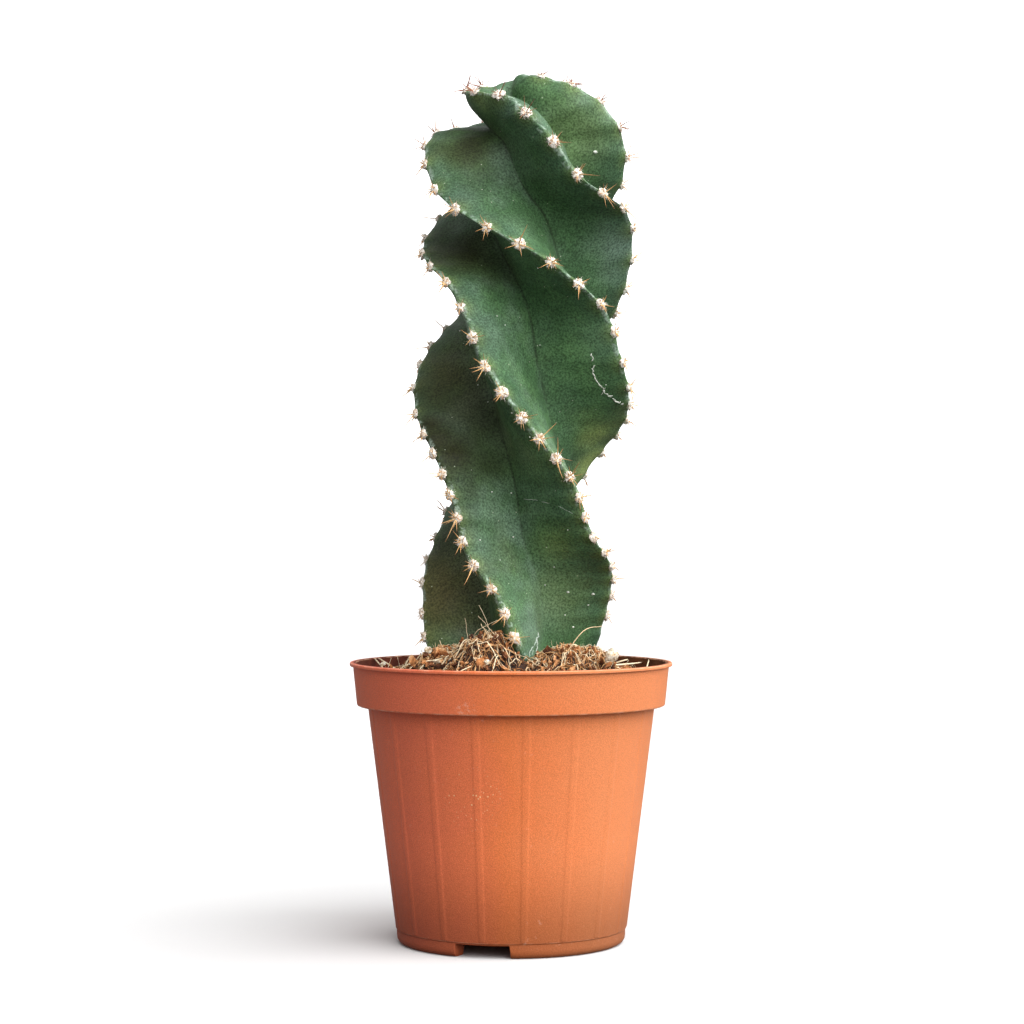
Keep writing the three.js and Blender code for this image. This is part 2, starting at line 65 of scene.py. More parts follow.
# The photograph's view: a level camera in front of the pot, with the frame measured in pixels
PHOTO_SIZE = 1024
SENSOR_WIDTH = 36
FOCAL_LENGTH = 2683
CAMERA_DISTANCE = 1000
CAMERA_HEIGHT = 162
EYE = Vector((0, -CAMERA_DISTANCE, CAMERA_HEIGHT))
AXIS_COLUMN = 511
HORIZON_ROW = 506

# Stem: the CAD's own driving dimensions, as growth heights along the stem
FIRST_HEIGHT = 74
GROUND = 96
SHOULDER = 290
CROWN_ARC = 52.5
CROWN_RISE = 32.5
VALLEY_HEIGHT = [[70, 70], [280, 280], [290, 290], [300, 296.5], [312, 300], [322, 304.5],
                 [332, 311], [342, 319]]
CREST_HALF_THICKNESS = [[300, 2.6], [321, 4.8], [342, 3]]
FLANK_POWER = 1.35
AXIS_OFFSET_X = [[70, 0.5], [105, 1], [133, 2.3], [200, 3.9], [259, 6.2], [290, 5.5]]
CREST_RADIUS = [[70, 10], [80, 21], [105, 33], [133, 35.8], [200, 40.6], [259, 39.6],
                [290, 38.4]]
VALLEY_RADIUS = [[70, 4], [80, 9], [105, 12.5], [133, 14], [280, 14.6], [300, 15.8], [310, 17.5],
                 [321, 21.5], [342, 28]]
RIB_ANGLES = [
    [[70, -30], [112, -75], [131, -92], [149, -121], [200, -180], [235, -237], [260, -270],
     [270, -290], [275, -313], [281, -331], [293, -345], [303, -358], [314, -380], [321, -436],
     [342, -548]],
    [[70, 40], [112, 2], [129, -12], [145, -31], [164, -40], [181, -54], [200, -83], [221, -117],
     [260, -190], [285, -252], [304, -271], [322, -295], [342, -390]],
    [[70, 140], [112, 112], [134, 87], [150, 49], [172, 28], [192, 2], [210, -18], [242, -46],
     [258, -90], [268, -115], [285, -150], [303, -180], [342, -310]],
    [[70, 215], [133, 180], [150, 165], [169, 147], [183, 128], [200, 88], [214, 65], [233, 46],
     [247, 17], [264, -15], [285, -53], [299, -74], [307, -88], [317, -115], [342, -235]],
]
RIBS = len(RIB_ANGLES)
LOW_RIB = 3
LOW_RIB_DROP = [[250, 0], [290, 12], [315, 12], [325, 16], [342, 12]]
AREOLE_SPACING = [
    [[110, 7], [120, 9], [130, 12.7], [150, 12.2], [245, 12.2], [262, 15], [274, 13.6], [305, 15],
     [320, 13.5]],
    [[110, 8.4], [140, 10.5], [160, 8.8], [188, 9.7], [204, 14.5], [214, 13.5], [232, 11],
     [250, 12.6]],
    [[120, 10], [141, 8.9], [148, 10.6], [160, 8.2], [178, 8.6], [200, 11], [250, 13], [268, 16],
     [280, 14]],
    [[195, 11.7], [206, 9.8], [218, 13], [245, 12.4], [270, 14.2], [292, 15.6], [312, 12.5]],
]
FIRST_AREOLE = [2, 3.2, 11.4, 2.5]
AREOLE_START = 111
AREOLE_END = 334
CREST_STEP = 0.5

# Fine relief of the stem, which the CAD leaves to this script
STEM_ROW = 0.9
CROWN_ROW = 0.6
CROWN_LAST = 341
FLANK_COLUMNS = 28
CREST_ROUNDNESS = 7
VALLEY_ROUNDING = 0.04
SCALLOP_DEPTH = 0.65
SCALLOP_SHARPNESS = 1.5
CREST_PINCH = 0.14
VALLEY_OPENING = 0.06
TUBERCLE_SWELL = 0.55
TUBERCLE_FOOT = 10
TUBERCLE_BROW = 16
FLANK_SWELL = [[100, 1.1], [250, 1.4], [300, 2.0], [320, 3.4], [342, 0.8]]
FLANK_LUMPS = [(16, 0.5), (6, 0.14)]

# Potting mix: the CAD's heap, with its mounds as x, y, rise and radius
MIX_EDGE_HEIGHT = 96
MIX_HEAP_RISE = 11
MIX_HEAP_RADIUS = 34
MOUNDS = [[-9, -32, 12, 8], [19, -33, 8, 6], [32, -24, 8, 6], [-26, -22, 5, 6],
          [-20, 30, 6, 10], [22, 28, 5, 9]]
MIX_LUMPS = [(9, 1.3), (3.2, 0.8), (1.3, 0.35)]
BED_STEP = 1.2
BED_RINGS = 78

# Pot: the CAD's driving dimensions
POT_HEIGHT = 104
LIP_RADIUS = 60
LIP_DEPTH = 1.3
COLLAR_TOP_RADIUS = 58.8
COLLAR_BOTTOM_RADIUS = 57.3
COLLAR_UNDERSIDE = 88
BODY_TOP_RADIUS = 53.3
BODY_BOTTOM_RADIUS = 42.9
WALL = 1.2
MOULDING_LINE = 5.6
MOULDING_STEP = 0.4
FOOT_CORNER = 3
FOOT_RING_INNER = 36
RECESS_DEPTH = 3.4
FLOOR_TOP = 4.9
FLOOR_STEP_RADIUS = 34
FLOOR_STEP_TOP = 6.7
DRAIN_HOLES = 6
DRAIN_HOLE_RADIUS = 3.5
DRAIN_HOLE_SIDES = 32
DRILL_LENGTH = 10
DRAIN_CIRCLE_RADIUS = 22
NOTCHES = 3
FIRST_NOTCH_ANGLE = -14.5
NOTCH_SPREAD = 28
NOTCH_BACK_RADIUS = 35.2
POT_RIBS = 18
FIRST_POT_RIB_ANGLE = 6
POT_RIB_WIDTH = 2.5
POT_RIB_PROUD = 0.19
GAP = 0.35
POT_SHARP_ANGLE = 50
CORNER_STEPS = 5
# Degrees between the pot's columns, and over which a rib and a notch begin
POT_COLUMN_STEP = 1.6
POT_RIB_EDGE = 0.6
NOTCH_EDGE = 0.4

# Marks on the pot's front, as x, y, z and reach: dust of the mix, and a rub under the collar's edge
DUST_PLACE = (-14, -47, 58, 14)
RUB_PLACE = (-16, -55.5, 90, 5)

# Skin of the stem: edges sharper than an angle stay sharp, and growth turns young with height
SKIN_SHARP_ANGLE = 55
AREOLE_TINT_REACH = 4.2
YOUNG_FROM = 265
YOUNG_AT = 318
# Places on the skin by pixel, each with a reach and an amount, for each shade of the flesh.
# The first list is painted shade, dark olive on the flanks that other ribs shadow.
SKIN_PLACES = {
    "painted_shade": [(455, 250, 17, 0.75), (440, 235, 11, 0.6), (450, 350, 18, 0.4), (437, 400, 20, 0.75),
             (470, 420, 16, 0.7), (437, 442, 17, 1), (452, 452, 18, 1), (480, 460, 13, 0.8),
             (430, 425, 10, 1), (440, 590, 24, 0.25), (445, 545, 11, 0.6), (470, 142, 12, 0.85),
             (455, 130, 9, 0.6), (495, 470, 8, 0.4), (478, 178, 12, 0.25)],
    "brown": [(440, 590, 22, 0.75), (432, 560, 10, 0.4), (452, 372, 15, 0.5), (470, 400, 13, 0.4),
              (468, 258, 12, 0.35), (470, 150, 10, 0.3)],
    "yellow": [(590, 462, 10, 0.7), (600, 435, 9, 0.45), (507, 440, 8, 0.14), (530, 455, 9, 0.12),
               (560, 590, 12, 0.12), (480, 97, 6, 0.3), (440, 150, 7, 0.12), (555, 545, 8, 0.2),
               (578, 130, 15, 0.16)],
    # Partly bloom and partly painted highlight, where the right edge of the upper lobes and one crest
    # edge catch the light
    "pale": [(487, 396, 6, 0.55), (477, 372, 5, 0.5), (504, 436, 8, 0.45), (525, 455, 9, 0.3),
             (455, 500, 9, 0.25), (622, 245, 10, 1), (617, 272, 8, 0.6), (460, 200, 8, 0.5),
             (482, 225, 7, 0.45), (605, 340, 9, 0.3), (478, 545, 8, 0.45), (545, 610, 10, 0.3),
             (515, 230, 8, 0.3)],
}
# Scars on the flanks: routes of pixels, each with its half width and how dry and pale it is
SCARS = [
    ([(591, 354), (593, 360), (593.5, 366), (592, 372), (596, 379), (602, 387), (604, 391)], 0.3, 1),
    ([(603, 390), (608, 395), (613, 399), (618, 402), (624, 404)], 0.36, 1),
    ([(606, 384), (604, 391), (601, 395)], 0.14, 1),
    ([(524, 499), (535, 500), (548, 503), (560, 507), (572, 513), (580, 519)], 0.1, 0.5),
    ([(537, 636), (535, 644), (532, 655)], 0.3, 0.3),
    ([(538, 632), (537, 645), (536, 658)], 0.22, 0.5),
    ([(533, 646), (530, 652), (529, 658)], 0.24, 0.3),
]
# Dried drops and grit on the skin: pixel and radius
FLECKS = [(595, 152, 0.9), (604, 391, 0.4), (609, 396, 0.5), (622, 404, 0.55), (594, 375, 0.3),
          (505, 325, 0.3), (478, 385, 0.3), (470, 345, 0.25), (540, 345, 0.25), (488, 402, 0.3),
          (521, 385, 0.25), (500, 560, 0.25), (545, 585, 0.3), (588, 605, 0.35), (565, 615, 0.3),
          (593, 594, 0.7), (568, 592, 0.6), (492, 492, 0.35), (511, 493, 0.35),
          (568, 530, 0.3), (513, 537, 0.4), (480, 540, 0.3), (554, 567, 0.3), (573, 627, 0.5),
          (538, 268, 0.35), (497, 316, 0.35), (512, 413, 0.4), (530, 437, 0.35), (460, 331, 0.4)]

# Areole wool and spines
WOOL_SINK = 0.35
WOOL_HAIRS = 26
WOOL_HAIR_RADII = (0.09, 0.07, 0.02)
SPINE_RADIUS = 0.15
CENTRAL_SPINE_RADIUS = 0.2
# Low on the stem, the spines of the side ribs are shorter
SHORT_BELOW = 165
SHORT_BEYOND = 27
SHORTENING = 0.55

# Crumbs, fibres and perlite: how many are scattered over the mix and on its mounds
CRUMBS = 2600
MOUND_CRUMBS = 420
SHORT_FIBRES = 2300
BOWED_FIBRES = 90
LOOSE_ENDS = 420
MOUND_FIBRES = 1000
STRAWS = 26
PERLITE_GRAINS = 46
# A strand's points, and the usual turn in degrees from one to the next
STRAND_POINTS = 7
STRAND_TURN = 18
# Shades of the mix by tone, from the darkest
BED_SHADES = [(0.0, "160d08"), (0.4, "452b1b"), (0.8, "a07349")]
CRUMB_SHADES = [(0.0, "190e08"), (0.35, "6a3d22"), (0.65, "bc7b47"), (1.0, "f2c594")]
FIBRE_SHADES = [(0.0, "4a2d19"), (0.35, "ae7543"), (0.7, "e4b27a"), (1.0, "ffebc6")]
# A sliver of bark is longer and thinner than a crumb
SLIVER = (1.5, 0.6, 0.5)
# Straws that lean on the wall beside the plant: foot x and y, and the bearing and height of the end
LEANING_STRAWS = [(-38, -22, -118, 103.7), (-43, -16, -115, 103.6), (-42, -5, -136.8, 103.7),
                  (36, -20, 118.8, 102), (49, -5, 113.4, 103.3), (30, 38, 128, 102.8)]
# Dry stalks that stand in the mounds: depth, route of pixels from the root up, and half width
STALKS = [
    (-30, [(467, 632), (467, 626), (465, 618)], 0.13),
    (-32, [(495, 635), (487, 625), (478, 616)], 0.14),
    (-33, [(488, 637), (485, 631), (481, 624)], 0.2),
    (-31, [(490, 636), (488, 625), (479, 605)], 0.12),
    (-32, [(474, 635), (478, 630), (489, 624), (498, 620)], 0.13),
    (-22, [(437, 654), (436, 650), (435, 643)], 0.13),
    (-23, [(446, 656), (444, 650), (440, 640)], 0.2),
    (-21, [(419, 664), (421, 659), (423, 652)], 0.26),
]
# One long fibre bows up from a mound and leans on the stem: x, y and z along it
ARCHED_FIBRE = [[[0, 18.5], [0.45, 26], [1, 33.4]], [[0, -33], [0.45, -32], [1, -17]],
                [[0, 107], [0.45, 116.8], [1, 118]]]
# Perlite that shows in the photograph: pixel and radius. The rest is scattered. Each grain rests
# on the mix at one of the depths along its pixel's line of sight.
PERLITE = [(518, 645, 2.6), (611, 656, 3.1), (524, 652, 1.5), (437, 662, 1.6), (383, 664, 1.2),
           (428, 650, 1.6), (487, 662, 1.2)]
SIGHT_DEPTHS = np.arange(-50, 30, 0.25)

# Lights, as name, degrees from the front, elevation, angular size and strength, and the stage,
# with its shades of grey
LIGHTS = [("key", 36, 42, 70, 4.25), ("side", 106, 27, 60, 2.1)]
FILL = 0.54
STAGE_RADIUS = 9000
GROUND_DROP = 3
FLOOR_SHADE = 0.7
GROUND_SHADE = 0.14
DOME_SHADE = 0.9

# Seeds of the random draws, and the cells of the noise that shapes the surfaces
WOOL_SEED = 3
SPINE_SEED = 21
CRUMB_SEED = 31
FIBRE_SEED = 41
PERLITE_SEED = 51
NOISE_CELLS = 24


# Numbers

def unit(vectors):
    """The vectors at length 1."""
    return vectors / np.maximum(np.linalg.norm(vectors, axis=-1, keepdims=True), 1e-9)


def smoothstep(low, high, value):
    t = np.clip((value - low) / (high - low), 0, 1)
    return t * t * (3 - 2 * t)


def curve(points, at):
    """Smooth curve through [position, value] points, level past both ends."""
    where, value = np.array(points, float).T
    at = np.clip(at, where[0], where[-1])
    slope = np.empty(len(value))
    slope[1:-1] = (value[2:] - value[:-2]) / (where[2:] - where[:-2])
    slope[0] = (value[1] - value[0]) / (where[1] - where[0])
    slope[-1] = (value[-1] - value[-2]) / (where[-1] - where[-2])
    i = np.clip(np.searchsorted(where, at, side="right") - 1, 0, len(where) - 2)
    span = where[i + 1] - where[i]
    t = (at - where[i]) / span
    rise = 3 * t**2 - 2 * t**3
    return (value[i] * (1 - rise) + value[i + 1] * rise
            + (t**3 - 2 * t**2 + t) * span * slope[i] + (t**3 - t**2) * span * slope[i + 1])


@functools.lru_cache(maxsize=None)
def noise_table(seed):
    return np.random.default_rng(seed).uniform(-1, 1, [NOISE_CELLS] * 3)


def lumps(points, size, seed):
    """Smooth random values from -1 to 1 at points, with lumps of the given size."""
    table = noise_table(seed)
    places = np.asarray(points, float) / size
    low = np.floor(places).astype(int)
    t = places - low
    t = t * t * (3 - 2 * t)
    total = 0
    for corner in np.ndindex(2, 2, 2):
        index = (low + corner) % len(table)
        weight = np.prod(np.where(corner, t, 1 - t), axis=-1)
        total = total + weight * table[index[..., 0], index[..., 1], index[..., 2]]
    return total


def even_angles(count, first=0):
    return first + np.arange(count) * 360 / count


def distance_to(angles, marks):
    """Degrees from each angle to the nearest mark."""
    apart = (angles[:, None] - marks[None, :] + 180) % 360 - 180
    return np.abs(apart).min(axis=1)


def polar(radius, degrees, z, centre_x=0.0):
    """Points at angles from the front, measured towards +X."""
    angle = np.radians(degrees)
    return np.stack(np.broadcast_arrays(centre_x + radius * np.sin(angle),
                                        -radius * np.cos(angle), z), axis=-1)


def resampled(path, count):
    """A path of points, with a count of points spread evenly over its legs."""
    spread = np.linspace(0, len(path) - 1, count)
    return np.stack([np.interp(spread, range(len(path)), axis) for axis in path.T], -1)


def random_turn(rng):
    """A random rotation matrix."""
    w, x, y, z = unit(rng.normal(size=4))
    return np.array([
        [1 - 2 * (y * y + z * z), 2 * (x * y - z * w), 2 * (x * z + y * w)],
        [2 * (x * y + z * w), 1 - 2 * (x * x + z * z), 2 * (y * z - x * w)],
        [2 * (x * z - y * w), 2 * (y * z + x * w), 1 - 2 * (x * x + y * y)],
    ])


# Meshes

@functools.lru_cache(maxsize=None)
def ring_faces(rows, sides):
    """Triangles between rings of points, closed by a first and a last point."""
    side = np.arange(sides)
    following = (side + 1) % sides
    start = np.arange(rows - 1)[:, None] * sides
    a = start + side
    b = start + following
    bottom = np.full(sides, rows * sides)
    faces = [(a, b, b + sides), (a, b + sides, a + sides), (bottom, following, side),
             (bottom + 1, a[-1] + sides, b[-1] + sides)]
    return np.concatenate([np.stack(corners, -1).reshape(-1, 3) for corners in faces])


def closed_rings(rings, bottom, top):
    """Rings of points, from the lowest up, closed by a point at each end."""
    rows, sides = rings.shape[:2]
    return np.concatenate([rings.reshape(-1, 3), [bottom], [top]]), ring_faces(rows, sides)


def tube(path, radii, sides):
    """A tube along a path, with a radius at each of its points."""
    along = unit(np.gradient(path, axis=0))
    reference = np.eye(3)[np.argmin(np.abs(along).sum(axis=0))]
    across = unit(np.cross(along, reference))
    up = np.cross(along, across)
    turn = np.arange(sides) * 2 * math.pi / sides
    spokes = across[:, None] * np.cos(turn)[:, None] + up[:, None] * np.sin(turn)[:, None]
    rings = path[:, None] + np.asarray(radii)[:, None, None] * spokes
    return closed_rings(rings, path[0], path[-1])


@functools.lru_cache(maxsize=None)
def ball(level):
    """A unit ball of even triangles."""
    made = bmesh.new()
    bmesh.ops.create_icosphere(made, subdivisions=level, radius=1)
    points = np.array([v.co for v in made.verts])
    faces = np.array([[v.index for v in f.verts] for f in made.faces])
    made.free()
    return points, faces


def new_object(name, data):
    made = bpy.data.objects.new(name, data)
    bpy.context.scene.collection.objects.link(made)
    return made


def new_piece(name, points, faces, material, values=None):
    """A mesh object from points in millimetres, with a value at each point for the shader."""
    mesh = bpy.data.meshes.new(name)
    mesh.vertices.add(len(points))
    mesh.vertices.foreach_set("co", (np.asarray(points, float) * MM).ravel())
    mesh.loops.add(faces.size)
    mesh.loops.foreach_set("vertex_index", faces.ravel().astype(np.int32))
    mesh.polygons.add(len(faces))
    mesh.polygons.foreach_set("loop_start", np.arange(0, faces.size, 3, dtype=np.int32))
    mesh.update(calc_edges=True)
    mesh.shade_smooth()
    for key, numbers in (values or {}).items():
        attribute = mesh.attributes.new(key, "FLOAT", "POINT")
        attribute.data.foreach_set("value", np.asarray(numbers, np.float32).ravel())
    mesh.materials.append(material)
    return new_object(name, mesh)


class Gathered:
    """Small closed meshes gathered into one piece, each with its own values for the shader."""

    def __init__(self):
        self.points = []
        self.faces = []
        self.values = {}
        self.count = 0

    def add(self, shape, **values):
        points, faces = shape
        self.points.append(points)
        self.faces.append(faces + self.count)
        self.count += len(points)
        for key, value in values.items():
            self.values.setdefault(key, []).append(np.broadcast_to(value, len(points)))

    def piece(self, name, material):
        values = {key: np.concatenate(parts) for key, parts in self.values.items()}
        return new_piece(name, np.concatenate(self.points), np.concatenate(self.faces), material,
                         values)


# Shaders

def colour(code):
    """A linear colour from its usual six-figure code."""
    parts = [int(code[i:i + 2], 16) / 255 for i in (0, 2, 4)]
    return [p / 12.92 if p <= 0.04045 else ((p + 0.055) / 1.055) ** 2.4 for p in parts] + [1]


class Shader:
    """A material whose nodes are made and joined by short calls."""

    def __init__(self, name, surface=None):
        self.material = bpy.data.materials.new(name)
        self.material.use_nodes = True
        self.tree = self.material.node_tree
        self.surface = self.tree.nodes["Principled BSDF"]
        self.place = self.node("ShaderNodeTexCoord").outputs["Object"]
        for key, value in (surface or {}).items():
            self.surface.inputs[key].default_value = value

    def put(self, socket, value):
        if isinstance(value, bpy.types.NodeSocket):
            self.tree.links.new(value, socket)
        else:
            socket.default_value = value

    def node(self, kind, inputs=None, **settings):
        made = self.tree.nodes.new(kind)
        for key, value in settings.items():
            setattr(made, key, value)
        for key, value in (inputs or {}).items():
            self.put(made.inputs[key], value)
        return made

    def noise(self, size, detail=3, roughness=0.55):
        """Noise from 0 to 1 with features of a size in millimetres."""
        return self.node("ShaderNodeTexNoise", {
            "Vector": self.place, "Scale": 1 / (size * MM), "Detail": detail,
            "Roughness": roughness}).outputs["Fac"]

    def cells(self, size):
        """Distance from the middle of cells of a size in millimetres."""
        return self.node("ShaderNodeTexVoronoi", {
            "Vector": self.place, "Scale": 1 / (size * MM)}).outputs["Distance"]

    def value(self, name):
        """A value that the mesh holds at its points."""
        return self.node("ShaderNodeAttribute", attribute_name=name).outputs["Fac"]

    def sums(self, operation, a, b, c=0.0):
        made = self.node("ShaderNodeMath", operation=operation)
        for socket, number in zip(made.inputs, (a, b, c)):
            self.put(socket, number)
        return made.outputs[0]

    def times(self, a, b):
        return self.sums("MULTIPLY", a, b)

    def between(self, value, low, high, to_low=0.0, to_high=1.0):
        """A value's smooth way from low to high, as a number between two others."""
        return self.node("ShaderNodeMapRange", {
            "Value": value, "From Min": low, "From Max": high, "To Min": to_low,
            "To Max": to_high}, interpolation_type="SMOOTHSTEP").outputs["Result"]

    def mix(self, factor, a, b, blend="MIX"):
        made = self.node("ShaderNodeMix", data_type="RGBA", blend_type=blend)
        self.put(made.inputs[0], factor)
        for socket, shade in zip(made.inputs[6:8], (a, b)):
            self.put(socket, colour(shade) if isinstance(shade, str) else shade)
        return made.outputs[2]

    def ramp(self, factor, stops):
        """A colour by value, from (value, colour code) stops."""
        made = self.node("ShaderNodeValToRGB", {"Fac": factor})
        slots = made.color_ramp.elements
        while len(slots) < len(stops):
            slots.new(0.5)
        for slot, (position, code) in zip(slots, stops):
            slot.position = position
            slot.color = colour(code)
        return made.outputs["Color"]

    def dimmed(self, shade, value):
        """A colour multiplied by a value."""
        grey = self.node("ShaderNodeCombineColor", {"Red": value, "Green": value, "Blue": value})
        return self.mix(1.0, shade, grey.outputs["Color"], "MULTIPLY")

    def facing_up(self):
        """1 where the surface faces up, 0 level, -1 down."""
        normal = self.node("ShaderNodeNewGeometry").outputs["Normal"]
        return self.node("ShaderNodeSeparateXYZ", {"Vector": normal}).outputs["Z"]

    def axis(self, name):
        """The place along X, Y or Z, in metres."""
        return self.node("ShaderNodeSeparateXYZ", {"Vector": self.place}).outputs[name]

    def near(self, x, y, z, reach):
        """1 at a place in millimetres and 0 beyond its reach."""
        made = self.node("ShaderNodeVectorMath", operation="DISTANCE")
        self.put(made.inputs[0], self.place)
        made.inputs[1].default_value = (x * MM, y * MM, z * MM)
        return self.between(made.outputs["Value"], reach * MM, reach * MM / 3)

    def relief(self, layers):
        """Bump from (value, depth in millimetres) layers."""
        normal = None
        for value, depth in layers:
            inputs = {"Height": value, "Distance": depth * MM, "Strength": 1.0}
            if normal:
                inputs["Normal"] = normal
            normal = self.node("ShaderNodeBump", inputs).outputs["Normal"]
        self.put(self.surface.inputs["Normal"], normal)

    def finish(self, shade, roughness):
        self.put(self.surface.inputs["Base Color"], shade)
        self.put(self.surface.inputs["Roughness"], roughness)
        return self.material


def flesh_material():
    """Waxy green skin with a grey-blue bloom, yellower at the areoles and worn along the crests."""
    s = Shader("cactus_skin", {"Specular IOR Level": 0.12})
    crest = s.value("crest")
    patches = s.noise(9, 4)
    grain = s.noise(0.7, 2)
    shade = s.ramp(s.sums("ADD", s.times(s.noise(38, 2), 0.55), s.times(patches, 0.45)),
                   [(0.3, "344d32"), (0.5, "436240"), (0.7, "587c50")])
    # Bloom in patches, stronger on faces that look up: partly wax and partly painted light from above
    film_and_top_light = s.times(s.between(s.noise(24, 3), 0.38, 0.68), s.between(s.facing_up(), -0.5, 0.5, 0.25, 1))
    bloom = s.times(film_and_top_light, s.between(crest, 0.98, 0.5, 0.35, 0.62))
    # The pale places add bloom and painted highlights
    shade = s.mix(s.sums("MAXIMUM", bloom, s.value("pale")), shade, "718977")
    shade = s.mix(s.value("yellow"), shade, "a3b566")
    shade = s.mix(s.times(s.between(crest, 0.55, 0.95), 0.3), shade, "2f4f43")
    shade = s.mix(s.times(s.value("areole"), 0.34), shade, "8f9c4c")
    shade = s.mix(s.value("brown"), shade, "5e4f2c")
    # Painted shade: dark olive where other ribs shadow the flanks
    shade = s.mix(s.value("painted_shade"), shade, "292c18")
    # Painted shade: dark lines down the valleys between the ribs, fading out low on the stem
    painted_crease_shade = s.times(s.between(crest, 0.045, 0.006, 0, 0.6), s.between(s.noise(16, 2), 0.35, 0.65, 0.35, 1))
    painted_crease_shade = s.times(painted_crease_shade, s.between(s.axis("Z"), 0.12, 0.16, 0.15, 1))
    shade = s.mix(painted_crease_shade, shade, "1a2413")
    worn = s.times(s.between(crest, 0.93, 0.99), s.between(s.noise(3, 4, 0.7), 0.45, 0.62))
    shade = s.mix(s.times(worn, 0.6), shade, "a9bcae")
    shade = s.dimmed(shade, s.between(grain, 0.25, 0.75, 0.52, 1.48))
    specks = s.times(s.between(s.cells(3.2), 0.075, 0.045), s.between(s.noise(9, 1), 0.5, 0.6))
    shade = s.mix(specks, shade, "c3ccb4")
    s.relief([(s.noise(5, 3), 0.35), (grain, 0.07)])
    return s.finish(shade, s.between(patches, 0.3, 0.7, 0.42, 0.6))


def wool_material():
    """Cream wool, browner where it thins out."""
    s = Shader("areole_wool", {"Sheen Weight": 0.3, "Sheen Roughness": 0.6})
    shade = s.ramp(s.noise(1.1, 3), [(0.3, "ab8059"), (0.4, "ead8c0"), (0.55, "fffaf1")])
    shade = s.mix(s.times(s.value("age"), 0.25), shade, "dcc6ad")
    shade = s.mix(s.between(s.cells(1.4), 0.34, 0.16, 0, 0.85), shade, "9a6440")
    s.relief([(s.noise(0.45, 2), 0.12)])
    return s.finish(shade, 0.9)


def spine_material():
    """Straw at the root, golden to red-brown along the spine, and darker on young growth."""
    s = Shader("spines")
    reach = s.value("reach")
    old = s.ramp(reach, [(0.0, "f2dcb2"), (0.3, "e0b06b"), (0.75, "c4894d"), (1.0, "8f5a36")])
    young = s.ramp(reach, [(0.0, "c78a62"), (0.3, "9a4a33"), (1.0, "5c241f")])
    shade = s.mix(s.value("youth"), old, young)
    shade = s.dimmed(shade, s.between(s.value("tone"), 0, 1, 0.75, 1.3))
    shade = s.mix(s.times(s.noise(1.4, 2), 0.3), shade, "e2c39a")
    s.relief([(s.noise(0.3, 2), 0.03)])
    return s.finish(shade, 0.45)


def cork_material():
    """Pale dry scar tissue."""
    s = Shader("scar_cork")
    shade = s.ramp(s.noise(0.9, 3), [(0.35, "a4ab9b"), (0.55, "eceee4")])
    shade = s.mix(s.value("dryness"), "70897a", shade)
    s.relief([(s.noise(0.4, 2), 0.06)])
    return s.finish(shade, 0.8)


def plastic_material():
    """Terracotta polypropylene with a spark-eroded skin, scuffed along its edges."""
    s = Shader("pot_plastic", {"Specular IOR Level": 0.18})
    inside = s.value("inside")
    grain = s.noise(0.32, 1)
    # Painted shade and painted reflection: redder towards the shaded left and paler towards the lit
    # right, with a broad wander of tone
    across = s.sums("ADD", s.between(s.axis("X"), -0.052, 0.05),
                    s.sums("MULTIPLY_ADD", s.noise(25, 3), 0.3, -0.15))
    shade = s.ramp(across, [(0.05, "dc6f50"), (0.5, "df7946"), (0.95, "d78253")])
    shade = s.dimmed(shade, s.between(grain, 0.25, 0.75, 0.84, 1.17))
    # Painted shade: darker towards the bottom, near the floor
    shade = s.dimmed(shade, s.between(s.axis("Z"), 0.001, 0.042, 0.5, 1))
    glints = s.times(s.between(s.cells(1.6), 0.09, 0.04), s.between(s.noise(5, 2), 0.5, 0.62))
    shade = s.mix(s.times(glints, 0.5), shade, "f3c7a0")
    dust = s.times(s.near(*DUST_PLACE), s.between(s.cells(1.3), 0.26, 0.16))
    dust = s.times(dust, s.between(s.noise(2.5, 2), 0.48, 0.56))
    shade = s.mix(s.times(dust, 0.8), shade, "f6d09a")
    rub = s.times(s.near(*RUB_PLACE), s.between(s.noise(1.2, 4, 0.7), 0.5, 0.62, 0, 0.4))
    shade = s.mix(rub, shade, "efbfa4")
    scuffs = s.times(s.between(s.noise(2.2, 5, 0.7), 0.6, 0.74), s.between(s.noise(14, 2), 0.5, 0.64))
    shade = s.mix(s.times(scuffs, 0.25), shade, "eec4ab")
    # Painted shade: the inner wall nearly black-brown, as the pot's cavity lies in shade
    painted_inner_shade = s.times(inside, s.between(s.noise(7, 4), 0.2, 0.7, 0.85, 1))
    shade = s.mix(painted_inner_shade, shade, "200c05")
    worn = s.times(s.value("edge"), s.between(s.noise(4, 3), 0.35, 0.65))
    shade = s.mix(s.times(worn, 0.55), shade, "f0b898")
    s.relief([(s.noise(6, 2), 0.1), (s.cells(0.7), 0.035), (grain, 0.05)])
    return s.finish(shade, s.sums("MAXIMUM", s.between(grain, 0.3, 0.7, 0.38, 0.52), inside))


def mix_material(name, stops, fine=0.5):
    """Peat, coir or bark: dark to tan by each crumb's tone, which for crumbs and fibres holds painted
    shade down in the gaps.
    """
    s = Shader(name)
    tone = s.sums("ADD", s.value("tone"), s.sums("MULTIPLY_ADD", s.noise(fine * 2, 3), 0.5, -0.25))
    shade = s.ramp(tone, stops)
    s.relief([(s.noise(fine, 3), 0.25)])
    return s.finish(shade, 0.92)


def perlite_material():
    """White expanded rock, pitted and a little dusty."""
    s = Shader("perlite")
    shade = s.ramp(s.noise(1.6, 4), [(0.35, "a1815c"), (0.48, "dccdb4"), (0.65, "f2ecdf")])
    s.relief([(s.cells(0.8), 0.25), (s.noise(0.5, 2), 0.08)])
    return s.finish(shade, 0.85)


# Stem

def crown_angle(height):
    return np.maximum(0, (height - SHOULDER) / CROWN_ARC) * math.pi / 2


def rib_angle(rib, height):
    return curve(RIB_ANGLES[rib], height)


